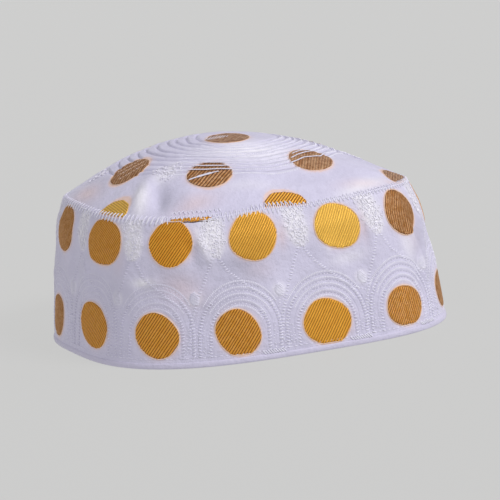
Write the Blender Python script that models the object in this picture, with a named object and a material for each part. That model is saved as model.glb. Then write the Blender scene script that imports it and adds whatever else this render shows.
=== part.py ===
"""A taqiyah: an oval cap of white embroidered cotton, with a side wall, a domed crown and a hem.

Metres, +Z up. The cap stands on its hem at Z = 0, centred on the origin, with its longer way
along X. A turn is a share of the way round the cap, from 0 at +X, anticlockwise seen from above.
"""
import math
from bisect import bisect_right
from collections import namedtuple

import bmesh
import bpy
from mathutils import Vector

MM = 0.001

# Cloth and joins
CLOTH_THICK = 1.6 * MM
SEAM_GAP = 0.3 * MM
HEM_HEIGHT = 2.6 * MM
HEM_PROUD = 0.4 * MM
HEM_THICK = 2.4 * MM
HEM_ROUND = 0.5 * MM

# Shape of the plan: a power of 2 would be an ellipse, and the egg widens the end at +X.
# The back corners are rounder than the front ones, and the crown turns round towards its apex.
PLAN_POWER = 3.0
BACK_EASE = 0.8
PLAN_EGG = 0.069
MEASURED_HEIGHT = 33.0 * MM

# Height of the seam between wall and crown, and of the dome above it, whose apex is off centre
SEAM_HEIGHT = 67.1 * MM
DOME_RISE = 27.4 * MM
DOME_POWER = 2.09
APEX_SHIFT_X = -6.0 * MM
APEX_SHIFT_Y = 0.1 * MM
CROWN_ROUNDING = 1.5
EDGE_LAND = 2.6 * MM

# How finely the solids are cut and directions are measured
ROUND_STEPS = 96
ANGLE_STEPS = 2880
TURN_STEP = 0.002
SHARE_STEP = 0.003
SMOOTH_BELOW = math.radians(50.0)
WALL_LEVELS = [level * MM for level in (9.0, 16.0, 24.0, 32.0, 40.0, 48.0, 55.0, 61.0, 65.0)]
DOME_SHARES = (0.97, 0.93, 0.87, 0.79, 0.69, 0.58, 0.46, 0.33, 0.19, 0.07)
INNER_SHARES = DOME_SHARES[1:]

Section = namedtuple("Section", "height half_length half_width shift_x shift_y")
WALL_SECTIONS = [Section(*(value * MM for value in row)) for row in (
    (0.0, 91.0, 81.0, 0.0, -0.2),
    (15.0, 88.7, 81.4, -0.6, 0.1),
    (30.0, 86.3, 81.6, -1.2, 0.4),
    (45.0, 83.6, 81.5, -1.8, 0.7),
    (57.0, 80.9, 81.0, -2.3, 0.9),
    (63.5, 78.1, 79.5, -2.5, 1.0),
    (67.1, 76.1, 78.3, -2.7, 1.1),
)]

# How far the seam rises or sags round the cap. The wave dies out below and above the seam.
WAVE_FADE = 3
SeamWave = namedtuple("SeamWave", "turn rise")
SEAM_WAVES = [SeamWave(turn, rise * MM) for turn, rise in (
    (0.03, -0.4),
    (0.13, 0.6),
    (0.24, -0.5),
    (0.34, 0.4),
    (0.46, 1.2),
    (0.55, -1.0),
    (0.66, -1.1),
    (0.70, 0.5),
    (0.74, -0.2),
    (0.83, 2.0),
    (0.93, 0.9),
)]

# Soft ridges and hollows in the wall: centre, reach each way, depth out of the wall, and lean
WallFold = namedtuple("WallFold", "turn height reach_round reach_up depth lean")
WALL_FOLDS = [WallFold(turn, height * MM, round_ * MM, up * MM, depth * MM, lean)
              for turn, height, round_, up, depth, lean in (
    (0.905, 30.0, 14.0, 13.0, 0.8, 0.00),
    (0.864, 40.0, 2.8, 18.0, 0.9, 0.28),
    (0.851, 40.0, 2.8, 15.0, -0.8, 0.20),
    (0.795, 38.0, 9.0, 14.0, -0.6, 0.00),
    (0.716, 40.0, 9.0, 12.0, -0.5, 0.00),
    (0.588, 37.0, 7.0, 5.0, 0.7, 0.00),
    (0.545, 34.0, 12.0, 12.0, -0.7, 0.20),
    (0.470, 30.0, 10.0, 16.0, -0.5, -0.10),
    (0.350, 40.0, 14.0, 15.0, -1.1, 0.15),
    (0.295, 30.0, 9.0, 18.0, 0.8, -0.20),
    (0.185, 42.0, 13.0, 14.0, -1.0, 0.10),
    (0.110, 28.0, 10.0, 16.0, 0.7, -0.15),
    (0.040, 40.0, 11.0, 15.0, -0.9, 0.10),
)]

# Soft ridges and hollows in the crown: centre, reach along and across a heading in degrees, rise.
# They die out at the seam.
FOLD_END = 18
CrownFold = namedtuple("CrownFold", "x y reach_along reach_across heading rise")
CROWN_FOLDS = [CrownFold(x * MM, y * MM, along * MM, across * MM, heading, rise * MM)
               for x, y, along, across, heading, rise in (
    (-61.0, -33.0, 13.0, 4.0, 54.0, 1.4),
    (-56.5, -45.0, 10.0, 4.0, 60.0, -1.6),
    (-2.0, -60.0, 14.0, 6.0, 10.0, -0.8),
    (48.0, -32.0, 13.0, 8.0, -35.0, -1.5),
    (-22.0, -6.0, 12.0, 8.0, 0.0, -0.8),
    (30.0, 52.0, 16.0, 7.0, 30.0, -1.4),
    (-40.0, 48.0, 14.0, 6.0, -40.0, 1.0),
    (55.0, 20.0, 12.0, 7.0, 80.0, 0.9),
)]


def table_value(rows, field, at):
    """Read one column of a table at a value of its first column, along a smooth curve."""
    keys = [row[0] for row in rows]
    values = [getattr(row, field) for row in rows]
    last = len(rows) - 1

    def slope(index):
        low, high = max(index - 1, 0), min(index + 1, last)
        return (values[high] - values[low]) / (keys[high] - keys[low])

    index = min(max(bisect_right(keys, at) - 1, 0), last - 1)
    span = keys[index + 1] - keys[index]
    part = min(max((at - keys[index]) / span, 0.0), 1.0)
    start, end = values[index], values[index + 1]
    start_slope, end_slope = slope(index) * span, slope(index + 1) * span
    return (
        (2 * part**3 - 3 * part**2 + 1) * start
        + (part**3 - 2 * part**2 + part) * start_slope
        + (3 * part**2 - 2 * part**3) * end
        + (part**3 - part**2) * end_slope
    )


def section_at(height):
    """Wall section at a height."""
    return Section(height, *(table_value(WALL_SECTIONS, field, height) for field in Section._fields[1:]))


def seam_rise(turn):
    """Rise or sag of the seam, read from a table that closes on itself."""
    turn = turn % 1.0
    before = SEAM_WAVES[-1]._replace(turn=SEAM_WAVES[-1].turn - 1.0)
    after = SEAM_WAVES[0]._replace(turn=SEAM_WAVES[0].turn + 1.0)
    return table_value([before, *SEAM_WAVES, after], "rise", turn)


def plan_point(angle, half_length, half_width, squareness=1.0):
    """Point of the rounded oval that the cap has in plan. No squareness gives an ellipse."""
    cosine, sine = math.cos(angle), math.sin(angle)
    power = 2.0 + squareness * (PLAN_POWER - 2.0 - BACK_EASE * max(sine, 0.0) ** 2)
    reach = (abs(cosine) ** power + abs(sine) ** power) ** (-1.0 / power)
    return half_length * reach * cosine, half_width * reach * sine * (1.0 + PLAN_EGG * cosine)


def measured_plan():
    """Angles and lengths round the wall at the height where turns are measured."""
    section = section_at(MEASURED_HEIGHT)
    angles = [2.0 * math.pi * step / ANGLE_STEPS for step in range(ANGLE_STEPS + 1)]
    points = [plan_point(angle, section.half_length, section.half_width) for angle in angles]
    lengths = [0.0]
    for start, end in zip(points, points[1:]):
        lengths.append(lengths[-1] + math.dist(start, end))
    return angles, lengths


PLAN_ANGLES, PLAN_LENGTHS = measured_plan()
GIRTH = PLAN_LENGTHS[-1]


def angle_of(turn):
    """Plan angle of a turn, so that equal turns are equal lengths of cloth."""
    length = (turn % 1.0) * GIRTH
    index = min(bisect_right(PLAN_LENGTHS, length) - 1, ANGLE_STEPS - 1)
    part = (length - PLAN_LENGTHS[index]) / (PLAN_LENGTHS[index + 1] - PLAN_LENGTHS[index])
    return PLAN_ANGLES[index] + part * (PLAN_ANGLES[index + 1] - PLAN_ANGLES[index])


def bump(distance, reach):
    """Smooth bump of height 1."""
    return math.exp(-((distance / reach) ** 2))


def plain_wall_point(turn, height):
    """Point of the wall before its folds."""
    section = section_at(height)
    x, y = plan_point(angle_of(turn), section.half_length, section.half_width)
    rise = seam_rise(turn) * (height / SEAM_HEIGHT) ** WAVE_FADE
    return Vector((x + section.shift_x, y + section.shift_y, height + rise))


def wall_outward(turn, height):
    """Level direction out of the wall."""
    along = plain_wall_point(turn + TURN_STEP, height) - plain_wall_point(turn - TURN_STEP, height)
    return Vector((along.y, -along.x, 0.0)).normalized()


def wall_fold_depth(turn, height):
    """How far the folds push the wall outwards, fading out at the seam and the hem."""
    depth = 0.0
    for fold in WALL_FOLDS:
        round_ = ((turn - fold.turn + 0.5) % 1.0 - 0.5) * GIRTH
        up = height - fold.height
        depth += fold.depth * bump(round_ - fold.lean * up, fold.reach_round) * bump(up, fold.reach_up)
    held = math.sin(math.pi * min(max(height / SEAM_HEIGHT, 0.0), 1.0))
    return depth * min(1.0, 2.0 * held)


def wall_point(turn, height, inset=0.0):
    """Point of the wall's outer face, or of a face inset from it."""
    out = wall_fold_depth(turn, height) - inset
    return plain_wall_point(turn, height) + out * wall_outward(turn, height)


def crown_fold_rise(x, y, share):
    """How far the crown's folds lift it, fading out at the seam."""
    rise = 0.0
    for fold in CROWN_FOLDS:
        heading = math.radians(fold.heading)
        along = (x - fold.x) * math.cos(heading) + (y - fold.y) * math.sin(heading)
        across = (y - fold.y) * math.cos(heading) - (x - fold.x) * math.sin(heading)
        rise += fold.rise * bump(along, fold.reach_along) * bump(across, fold.reach_across)
    return rise * (1.0 - share**FOLD_END)


def crown_point(turn, share):
    """Point of the crown's outer face. The share is 1 at the seam and 0 at the apex."""
    seam = WALL_SECTIONS[-1]
    squareness = share**CROWN_ROUNDING
    x, y = plan_point(angle_of(turn), seam.half_length * share, seam.half_width * share, squareness)
    x += seam.shift_x + APEX_SHIFT_X * (1.0 - share)
    y += seam.shift_y + APEX_SHIFT_Y * (1.0 - share)
    height = SEAM_HEIGHT + SEAM_GAP + DOME_RISE * (1.0 - share**DOME_POWER)
    height += seam_rise(turn) * share**WAVE_FADE + crown_fold_rise(x, y, share)
    return Vector((x, y, height))


def crown_normal(turn, share):
    """Direction out of the crown."""
    along = crown_point(turn + TURN_STEP, share) - crown_point(turn - TURN_STEP, share)
    inwards = crown_point(turn, share - SHARE_STEP) - crown_point(turn, share + SHARE_STEP)
    return along.cross(inwards).normalized()


def ring(point_at):
    """One ring of points round the cap."""
    return [point_at(step / ROUND_STEPS) for step in range(ROUND_STEPS)]


def add_ring(mesh, points):
    """Add one ring of vertices."""
    return [mesh.verts.new(point) for point in points]


def join_rings(mesh, first, second):
    """Fill the strip between two rings."""
    count = len(first)
    for index in range(count):
        after = (index + 1) % count
        mesh.faces.new((first[index], first[after], second[after], second[index]))


def close_ring(mesh, loop, tip):
    """Fill from a ring to one point."""
    for index, vertex in enumerate(loop):
        mesh.faces.new((vertex, loop[(index + 1) % len(loop)], tip))


def cloth_material(name, colour, roughness):
    """Plain undyed cloth, not metallic."""
    material = bpy.data.materials.new(name)
    material.use_nodes = True
    shader = material.node_tree.nodes["Principled BSDF"]
    shader.inputs["Base Color"].default_value = (*colour, 1.0)
    shader.inputs["Roughness"].default_value = roughness
    shader.inputs["Metallic"].default_value = 0.0
    material.diffuse_color = (*colour, 1.0)
    return material


def add_object(name, mesh, material):
    """Finish a mesh, with its faces outwards and its round faces smooth, as one named object."""
    bmesh.ops.recalc_face_normals(mesh, faces=mesh.faces)
    data = bpy.data.meshes.new(name)
    mesh.to_mesh(data)
    mesh.free()
    data.materials.append(material)
    data.shade_smooth()
    data.set_sharp_from_angle(angle=SMOOTH_BELOW)
    made = bpy.data.objects.new(name, data)
    bpy.context.collection.objects.link(made)
    return made


def make_hem():
    """Folded edge that the cap stands on: a flat-footed ring, a little proud of the wall."""
    half = HEM_HEIGHT / 2.0
    profile = (
        (HEM_ROUND, 0.0),
        (0.0, HEM_ROUND),
        (0.0, HEM_HEIGHT),
        (HEM_THICK, HEM_HEIGHT),
        (HEM_THICK, 0.0),
    )
    mesh = bmesh.new()
    rings = []
    for inset, height in profile:
        points = ring(lambda turn: wall_point(turn, half, inset - HEM_PROUD))
        for point in points:
            point.z = height
        rings.append(add_ring(mesh, points))
    for first, second in zip(rings, rings[1:] + rings[:1]):
        join_rings(mesh, first, second)
    return add_object("hem", mesh, cloth_material("hem_cotton", (0.80, 0.79, 0.87), 0.62))


def make_side_band():
    """Side wall: one thickness of cloth from the hem to the seam."""
    levels = [HEM_HEIGHT + SEAM_GAP, *WALL_LEVELS, SEAM_HEIGHT]
    mesh = bmesh.new()
    outer = [add_ring(mesh, ring(lambda turn: wall_point(turn, level))) for level in levels]
    inner = [add_ring(mesh, ring(lambda turn: wall_point(turn, level, CLOTH_THICK))) for level in levels]
    rings = outer + inner[::-1]
    for first, second in zip(rings, rings[1:] + rings[:1]):
        join_rings(mesh, first, second)
    return add_object("side_band", mesh, cloth_material("wall_cotton", (0.78, 0.77, 0.86), 0.70))


def make_crown():
    """Domed crown: one thickness of cloth, with a flat land that sits over the top of the wall."""
    def edge(turn):
        return crown_point(turn, 1.0) - EDGE_LAND * wall_outward(turn, SEAM_HEIGHT)

    def lining(turn, share):
        return crown_point(turn, share) - CLOTH_THICK * crown_normal(turn, share)

    mesh = bmesh.new()
    outer = [add_ring(mesh, ring(lambda turn: crown_point(turn, share))) for share in (1.0, *DOME_SHARES)]
    inner = [add_ring(mesh, ring(lambda turn: lining(turn, share))) for share in INNER_SHARES]
    land = add_ring(mesh, ring(edge))
    top = mesh.verts.new(crown_point(0.0, 0.0))
    under = mesh.verts.new(crown_point(0.0, 0.0) - Vector((0.0, 0.0, CLOTH_THICK)))
    rings = outer[::-1] + [land] + inner
    for first, second in zip(rings, rings[1:]):
        join_rings(mesh, first, second)
    close_ring(mesh, outer[-1], top)
    close_ring(mesh, inner[-1], under)
    return add_object("crown", mesh, cloth_material("crown_cotton", (0.79, 0.78, 0.87), 0.68))


def main():
    """Clear the scene and build the cap."""
    for old in list(bpy.data.objects):
        bpy.data.objects.remove(old, do_unlink=True)
    make_hem()
    make_side_band()
    make_crown()


main()
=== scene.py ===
import math

import bpy
import numpy as np
from mathutils import Matrix, Vector


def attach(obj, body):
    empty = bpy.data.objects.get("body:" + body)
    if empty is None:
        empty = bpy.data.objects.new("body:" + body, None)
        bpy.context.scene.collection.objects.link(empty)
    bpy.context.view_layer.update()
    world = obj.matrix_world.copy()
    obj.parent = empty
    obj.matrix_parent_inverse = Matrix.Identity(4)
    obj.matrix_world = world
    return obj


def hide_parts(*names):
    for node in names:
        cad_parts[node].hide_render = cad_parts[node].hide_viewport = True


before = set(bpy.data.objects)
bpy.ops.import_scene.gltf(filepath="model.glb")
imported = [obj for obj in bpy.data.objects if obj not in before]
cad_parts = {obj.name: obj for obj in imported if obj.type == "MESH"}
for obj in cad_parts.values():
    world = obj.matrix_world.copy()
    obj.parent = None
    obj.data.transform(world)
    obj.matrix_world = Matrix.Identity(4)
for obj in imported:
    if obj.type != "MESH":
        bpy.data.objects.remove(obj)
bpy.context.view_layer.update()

# The looks of an oval cloth cap: white embroidered cotton with golden woven spots.
# Lengths are millimetres. A turn is a share of the way round, 0 at +X, anticlockwise from above,
# and a run is the same way in millimetres of cloth at the height where the girth is measured.

MM = 0.001
BODY = "root"

# Driving sizes of the cap, as in the part's source
CLOTH_THICK = 1.6
SEAM_GAP = 0.3
PLAN_POWER = 3.0
BACK_EASE = 0.8
PLAN_EGG = 0.069
MEASURED_HEIGHT = 33.0
SEAM_HEIGHT = 67.1
DOME_RISE = 27.4
DOME_POWER = 2.09
APEX_SHIFT = np.array([-6.0, 0.1])
CROWN_ROUNDING = 1.5

# Oval of the wall at each height: height, half length, half width, shift along X and along Y
WALL_SECTIONS = np.array([
    (0, 91, 81, 0, -0.2), (15, 88.7, 81.4, -0.6, 0.1), (30, 86.3, 81.6, -1.2, 0.4),
    (45, 83.6, 81.5, -1.8, 0.7), (57, 80.9, 81, -2.3, 0.9), (63.5, 78.1, 79.5, -2.5, 1),
    (67.1, 76.1, 78.3, -2.7, 1.1)])

# Rise and fall of the seam: turn, rise
SEAM_WAVES = np.array([
    (0.03, -0.4), (0.13, 0.6), (0.24, -0.5), (0.34, 0.4), (0.46, 1.2), (0.55, -1),
    (0.66, -1.1), (0.70, 0.5), (0.74, -0.2), (0.83, 2), (0.93, 0.9)])

# Small helpers


def bell(distance, reach):
    return np.exp(-(distance/reach)**2)


def limited(value):
    return np.clip(value, 0, 1)


def unit(vectors):
    return vectors/(np.linalg.norm(vectors, axis=-1, keepdims=True) + 1e-9)


def turned(x, y, degrees):
    """Parts of x and y along a heading and across it."""
    c, s = np.cos(np.radians(degrees)), np.sin(np.radians(degrees))
    return x*c + y*s, y*c - x*s


def ripples(a, b, rows):
    """Crossed waves: a height, then for each of two waves its rates along a and b and its start."""
    return sum(high*np.sin(a1*a + b1*b + c1)*np.sin(a2*a + b2*b + c2)
               for high, a1, b1, c1, a2, b2, c2 in rows)


def mounds(x, y, rows):
    """Soft mounds of the crown along a last axis, one for each row: x, y, reach along, reach across,
    heading, strength."""
    middle_x, middle_y, reach_along, reach_across, heading, strength = np.array(rows).T
    along, across = turned(x[..., None] - middle_x, y[..., None] - middle_y, heading)
    return strength*bell(along, reach_along)*bell(across, reach_across)


def table_values(rows, at):
    """Smooth values between a table's rows, keyed by its first column."""
    keys, values = rows[:, 0], rows[:, 1:]
    last = len(keys) - 1
    at = np.asarray(at, float)
    i = np.clip(np.searchsorted(keys, at, side="right") - 1, 0, last - 1)
    before = np.maximum(np.arange(last + 1) - 1, 0)
    after = np.minimum(np.arange(last + 1) + 1, last)
    slope = (values[after] - values[before])/(keys[after] - keys[before])[:, None]
    span = (keys[i + 1] - keys[i])[..., None]
    p = limited((at[..., None] - keys[i][..., None])/span)
    return ((2*p**3 - 3*p**2 + 1)*values[i] + (p**3 - 2*p**2 + p)*slope[i]*span
            + (3*p**2 - 2*p**3)*values[i + 1] + (p**3 - p**2)*slope[i + 1]*span)


# The plain cap, before folds and stitches

def unit_radius(angle, fullness):
    """Radius of the rounded oval of unit size. A fullness of 0 gives a plain ellipse."""
    c, s = np.cos(angle), np.sin(angle)
    power = 2.0 + (PLAN_POWER - 2.0 - BACK_EASE*np.maximum(s, 0)**2)*fullness
    return (np.abs(c)**power + np.abs(s)**power)**(-1/power)


def plan_point(angle, half_length, half_width, fullness=1.0):
    c, s = np.cos(angle), np.sin(angle)
    r = unit_radius(angle, fullness)
    return np.stack([half_length*r*c, half_width*r*s*(1 + PLAN_EGG*c)], -1)


# Angles and the length of cloth up to each, at the height where the girth is measured
GIRTH_ANGLES = np.linspace(0, 2*np.pi, 2881)
GIRTH_STEPS = np.diff(plan_point(GIRTH_ANGLES, *table_values(WALL_SECTIONS, MEASURED_HEIGHT)[:2]), axis=0)
GIRTH_LENGTHS = np.r_[0, np.cumsum(np.hypot(*GIRTH_STEPS.T))]
GIRTH = GIRTH_LENGTHS[-1]


def wrapped(run):
    """A run brought to within half the girth of zero."""
    return np.mod(run + GIRTH/2, GIRTH) - GIRTH/2


def angle_of(run):
    return np.interp(np.mod(run, GIRTH), GIRTH_LENGTHS, GIRTH_ANGLES)


def run_of(angle):
    return np.interp(np.mod(angle, 2*np.pi), GIRTH_ANGLES, GIRTH_LENGTHS)


def seam_rise(run):
    rows = np.vstack([SEAM_WAVES[-1:] - [[1, 0]], SEAM_WAVES, SEAM_WAVES[:1] + [[1, 0]]])
    return table_values(rows, np.mod(run/GIRTH, 1.0))[..., 0]


def plain_wall(run, height):
    row = table_values(WALL_SECTIONS, height)
    flat = plan_point(angle_of(run), row[..., 0], row[..., 1]) + row[..., 2:4]
    rise = seam_rise(run)*np.sign(height)*(np.abs(height)/SEAM_HEIGHT)**3
    return np.concatenate([flat, (height + rise)[..., None]], -1)


def outward(run, height):
    """Level direction that points away from the wall."""
    d = plain_wall(run + GIRTH/500, height) - plain_wall(run - GIRTH/500, height)
    return unit(np.stack([d[..., 1], -d[..., 0], 0*d[..., 0]], -1))


# Swells of the wall: place round, height, reach round, reach up, strength, lean. The places of
# folds are written as turns and brought to runs by this factor, those of patches are runs.
BY_TURN = [GIRTH, 1, 1, 1, 1, 1]

# Soft folds of the wall
WALL_FOLDS = BY_TURN*np.array([
    (0.905, 30, 14, 13, 0.8, 0), (0.864, 40, 2.8, 18, 0.9, 0.28), (0.851, 40, 2.8, 15, -0.8, 0.2),
    (0.795, 38, 9, 14, -0.6, 0), (0.716, 40, 9, 12, -0.5, 0), (0.588, 37, 7, 5, 0.7, 0),
    (0.545, 34, 12, 12, -0.7, 0.2), (0.47, 30, 10, 16, -0.5, -0.1), (0.35, 40, 14, 15, -1.1, 0.15),
    (0.295, 30, 9, 18, 0.8, -0.2), (0.185, 42, 13, 14, -1, 0.1), (0.11, 28, 10, 16, 0.7, -0.15),
    (0.04, 40, 11, 15, -0.9, 0.1)])

# Small folds of the embroidered face alone
SMALL_FOLDS = BY_TURN*np.array([
    (0.6455, 57, 2.2, 9, 0.9, -0.45), (0.6375, 52, 3, 8, -0.8, -0.3), (0.604, 39, 6, 2.4, 0.5, 0),
    (0.714, 54, 2.4, 7, -0.5, 0.1), (0.793, 50, 2, 8, -0.7, 0), (0.7985, 50, 2.4, 9, 0.5, 0),
    (0.625, 36, 8, 8, -0.5, -0.4), (0.68, 40, 8, 7, -0.6, 0.6), (0.74, 41, 6, 7, 0.5, 0.7),
    (0.77, 40, 5, 6, -0.4, -0.6), (0.835, 43, 3.5, 9, -0.6, 0.5), (0.846, 52, 2, 12, 0.6, -0.25),
    (0.851, 47, 2.2, 12, -0.6, -0.3), (0.665, 44, 9, 3, -0.5, -0.5)])

# Places where gold glows through, painted highlights where the satin face shines, and patches of
# painted shade on the cloth
GLOW_PATCHES = np.array([
    (356, 57, 3, 6, 0.5, 0), (400, 55, 3, 6, 0.5, 0), (442.5, 54, 2.5, 7, 0.5, 0),
    (352, 36, 9, 8, 0.42, -0.4), (318, 50, 4, 7, 0.3, 0), (388, 42, 7, 5, 0.2, 0),
    (474, 45, 5, 8, 0.2, 0), (150, 38, 9, 8, 0.35, 0.3), (60, 40, 10, 7, 0.3, 0)])
SHINE_PATCHES = np.array([
    (424, 52, 2, 7, 0.5, 0.2), (470, 51, 2, 7, 0.6, -0.4), (333.5, 39, 5.5, 2.2, 0.8, 0),
    (361, 57, 2.2, 8, 0.8, -0.45), (318, 60, 4, 6, 0.7, 0), (410, 60, 4, 5, 0.5, 0),
    (452, 58, 4.5, 8, 0.5, 0), (432, 41, 9, 3, 0.4, 0.5), (468, 42, 4, 8, 0.5, 0),
    (200, 45, 8, 4, 0.6, 0.2), (95, 50, 6, 6, 0.6, 0.2)])
WALL_PAINTED_SHADE = np.array([
    (352, 40, 13, 8, 0.45, -0.3), (379, 42, 13, 9, 1, 0), (368, 29, 16, 7, 0.6, 0),
    (359, 50, 2.5, 7, 0.6, -0.3), (320, 34, 10, 8, 0.2, 0), (416, 45, 5, 6, 0.35, 0),
    (441, 50, 2.5, 7, 0.45, 0), (479, 45, 8, 10, 0.8, 0.2), (479, 30, 6, 8, 0.8, 0),
    (472, 29, 5, 9, 0.7, 0), (385, 4, 30, 6, 0.45, 0), (425, 42, 7, 5, 0.25, 0.6),
    (398, 14, 5, 9, 0.2, 0), (230, 40, 14, 8, 0.5, 0.2), (110, 38, 15, 8, 0.5, -0.3),
    (20, 42, 12, 8, 0.4, 0.2)])


def swells(run, height, rows):
    """Soft swells of the wall, one for each row, along a last axis."""
    middle, level, reach_round, reach_up, strength, lean = rows.T
    up = height[..., None] - level
    across = wrapped(run[..., None] - middle) - lean*up
    return strength*bell(across, reach_round)*bell(up, reach_up)


def wall_fold(run, height, folds=WALL_FOLDS):
    held = np.sin(np.pi*limited(height/SEAM_HEIGHT))
    return swells(run, height, folds).sum(-1)*np.minimum(1, 2*held)


# Golden spots. Fourteen stand in each row round the wall, and the seen ones are placed one by one.
# Columns: place in fourteenths of a turn, height, long half, short half, tilt, height of the cut
# foot, and the gold's painted shade, from 0 to 1, or its painted sheen, from 0 to -1
SPOTS_ROUND = 14
UPPER_SPOTS = [
    (6.5, 56, 11.2, 10.2, 0, 0, 0.45), (7.65, 55.7, 13.8, 10.2, 177, 0, 0.15),
    (8.677, 56.9, 10.5, 10.1, 132, 0, 0), (9.667, 56.5, 11.5, 10.5, 156, 0, -0.45),
    (10.755, 55.8, 12, 9.8, 164, 0, -0.9), (11.74, 55.7, 10.9, 9.5, 150, 0, 0.6)]
LOWER_SPOTS = [
    (6.35, 14.5, 8.8, 9.8, 0, 3.6, 0.5), (7.49, 16.8, 12.7, 9.9, 164, 3.6, 0.15),
    (8.521, 15.2, 10.8, 9.4, 137, 3.6, 0.12), (9.434, 14.2, 11.2, 9.1, 123, 4.2, 0.15),
    (10.473, 13.4, 11.4, 10.4, 152, 3.5, -0.2), (11.5, 14, 10.3, 9.4, 169, 4.9, 0.34),
    (12.4, 15.2, 8.8, 8.8, 10, 3.8, 0.6)]
HIDDEN_SPOT_SIZE = (10.8, 10.1, 20.0)
HIDDEN_SPOT_SHEEN_SHADE = 0.25


def spot_rows(seen):
    """The seen spots of one row, with the hidden ones spread evenly over the rest of the way round."""
    hidden = SPOTS_ROUND - len(seen)
    places = np.linspace(seen[-1][0], seen[0][0] + SPOTS_ROUND, hidden + 2)[1:-1] % SPOTS_ROUND
    height, foot = np.mean([(row[1], row[5]) for row in seen], 0)
    rows = seen + [(at, height, *HIDDEN_SPOT_SIZE, foot, HIDDEN_SPOT_SHEEN_SHADE) for at in places]
    return np.array(sorted(rows))*[GIRTH/SPOTS_ROUND, 1, 1, 1, 1, 1, 1]


def gaps_after(rows):
    return np.mod(np.roll(rows[:, 0], -1) - rows[:, 0], GIRTH)


UPPER = spot_rows(UPPER_SPOTS)
LOWER = spot_rows(LOWER_SPOTS)
LOWER_GAPS = gaps_after(LOWER)
VALLEYS = np.mod(LOWER[:, 0] + LOWER_GAPS/2, GIRTH)
TONGUES = np.mod(UPPER[:, 0] + gaps_after(UPPER)/2, GIRTH)

# Tongues of curly stitches that hang from the seam between the upper spots
TONGUE_TIP = 48.6
TONGUE_LEAN = 0.16
TONGUE_LEAN_HEIGHT = 60.0
TONGUE_HALF = 6.3
TONGUE_ROUND = 0.42
TONGUE_NARROWING = 0.12

# Arches sewn round each lower spot: half width beside the spot, height above its middle
ARCHES = np.array([(12.7, 13.3), (15.3, 16.2), (17.7, 19.1), (19.6, 22.1)])
ARCH_HALF_GAP = 20.0
ARCH_GROOVE = 0.16
ARCH_GROOVE_WIDTH = 0.75
ARCH_STEP = 2.4
ARCH_FOOT = 4.8
# Puffs between the arch lines: radius, width
ARCH_PUFFS = ((14.8, 1.2), (11.9, 0.9))
ARCH_PUFF_RISE = 0.2

# How the stitches round the wall fade: not at all at the clear turn, and most opposite to it. Where
# they fade, the threads are painted greyer, as shade on the side turned from the lamps
FADE_MIDDLE = 0.60
FADE_SWING = 1.1
FADE_CLEAR_TURN = 0.92
FADE_MOST = 0.95

# Soft round bulbs above the valleys between the arches
BULB_SHIFT = -0.8
BULB_HEIGHT = 31.2
BULB_REACH = 3.2
BULB_PUFF = 0.45

# Lines of the turned-up edge: height, width, depth
HEM_LINES = ((4.3, 0.45, 0.14), (6.0, 0.5, 0.12))

# Wrinkles of washed cotton, as crossed waves of the angle round and the height
SMALL_WRINKLES = ((0.14, 23, 0.11, 1.3, 9, 0.19, 0), (0.098, 41, -0.16, 0.4, -13, 0.27, 2))
BROAD_WRINKLES = ((0.48, 7, 0.09, 0.3, -11, 0.13, 1), (0.48, 17, -0.1, 0, 5, 0.08, 0.5))
BROAD_HEIGHT = 42.0
BROAD_REACH = 14.0
WALL_INSET = 0.3


def tongue_margin(x, y):
    """How far a place beside a tongue's line, by run and height, lies within its curly stitches."""
    t = limited((y - TONGUE_TIP)/(SEAM_HEIGHT - TONGUE_TIP))
    half = TONGUE_HALF*np.sqrt(np.minimum(1, t/TONGUE_ROUND))*(1 - TONGUE_NARROWING*t)
    return np.where(t > 0, half - np.abs(x + TONGUE_LEAN*(y - TONGUE_LEAN_HEIGHT)), -9.0)


def tongue_share(run, height):
    margin = tongue_margin(wrapped(run[..., None] - TONGUES), height[..., None]).max(-1)
    return 1/(1 + np.exp(-(margin - 0.5)/0.8))


def stitch_fade(run):
    """How far the white stitches fade into the cloth at a run."""
    return np.clip(FADE_MIDDLE - FADE_SWING*np.cos(2*np.pi*(run/GIRTH - FADE_CLEAR_TURN)), 0, FADE_MOST)


def arch_lines(run, height):
    """Radius from the nearest lower spot, its slope, and the radius of each arch line that way."""
    across = wrapped(run[..., None] - LOWER[:, 0])
    scaled = across*ARCH_HALF_GAP/np.where(across > 0, LOWER_GAPS/2, np.roll(LOWER_GAPS, 1)/2)
    nearest = np.argmin(np.abs(scaled), -1)
    x = np.take_along_axis(scaled, nearest[..., None], -1)[..., 0]
    y = np.maximum(height - LOWER[nearest, 1], 0)
    r = np.hypot(x, y)
    c, s = np.abs(x)/(r + 1e-9), y/(r + 1e-9)
    return r, s, np.stack([half*tall/(np.hypot(tall*c, half*s) + 1e-9) for half, tall in ARCHES])


def arch_relief(run, height):
    """Depth to which the sewn arches pull the cloth in, and the puffs between them."""
    r, _, lines = arch_lines(run, height)
    relief = -ARCH_GROOVE*bell(r - lines, ARCH_GROOVE_WIDTH).sum(0)
    for radius, width in ARCH_PUFFS:
        relief += ARCH_PUFF_RISE*bell(r - radius, width)
    inside = limited((SEAM_HEIGHT - height)/20)*limited((height - 3)/2)
    return relief*inside*(1 - 0.5*stitch_fade(run))


def ring_number(r, lines, step):
    """Place among lines of growing radius: a whole number on each line, and never one elsewhere."""
    number = 1 + (r - lines[0])/step
    for k in range(1, len(lines)):
        number = np.where(r > lines[k - 1], k + (r - lines[k - 1])/(lines[k] - lines[k - 1]), number)
    number = np.where(r > lines[-1], len(lines) + (r - lines[-1])/step, number)
    return np.clip(number, 0.55, len(lines) + 0.45)


def arch_rings(run, height):
    """Place among the arch lines, and how strongly their grooves are painted with shade and bumped there."""
    r, s, lines = arch_lines(run, height)
    sewn = limited((height - ARCH_FOOT)/1.5)*(0.3 + 0.34*s)*(1 - 0.85*stitch_fade(run))
    return ring_number(r, lines, ARCH_STEP), sewn


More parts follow.
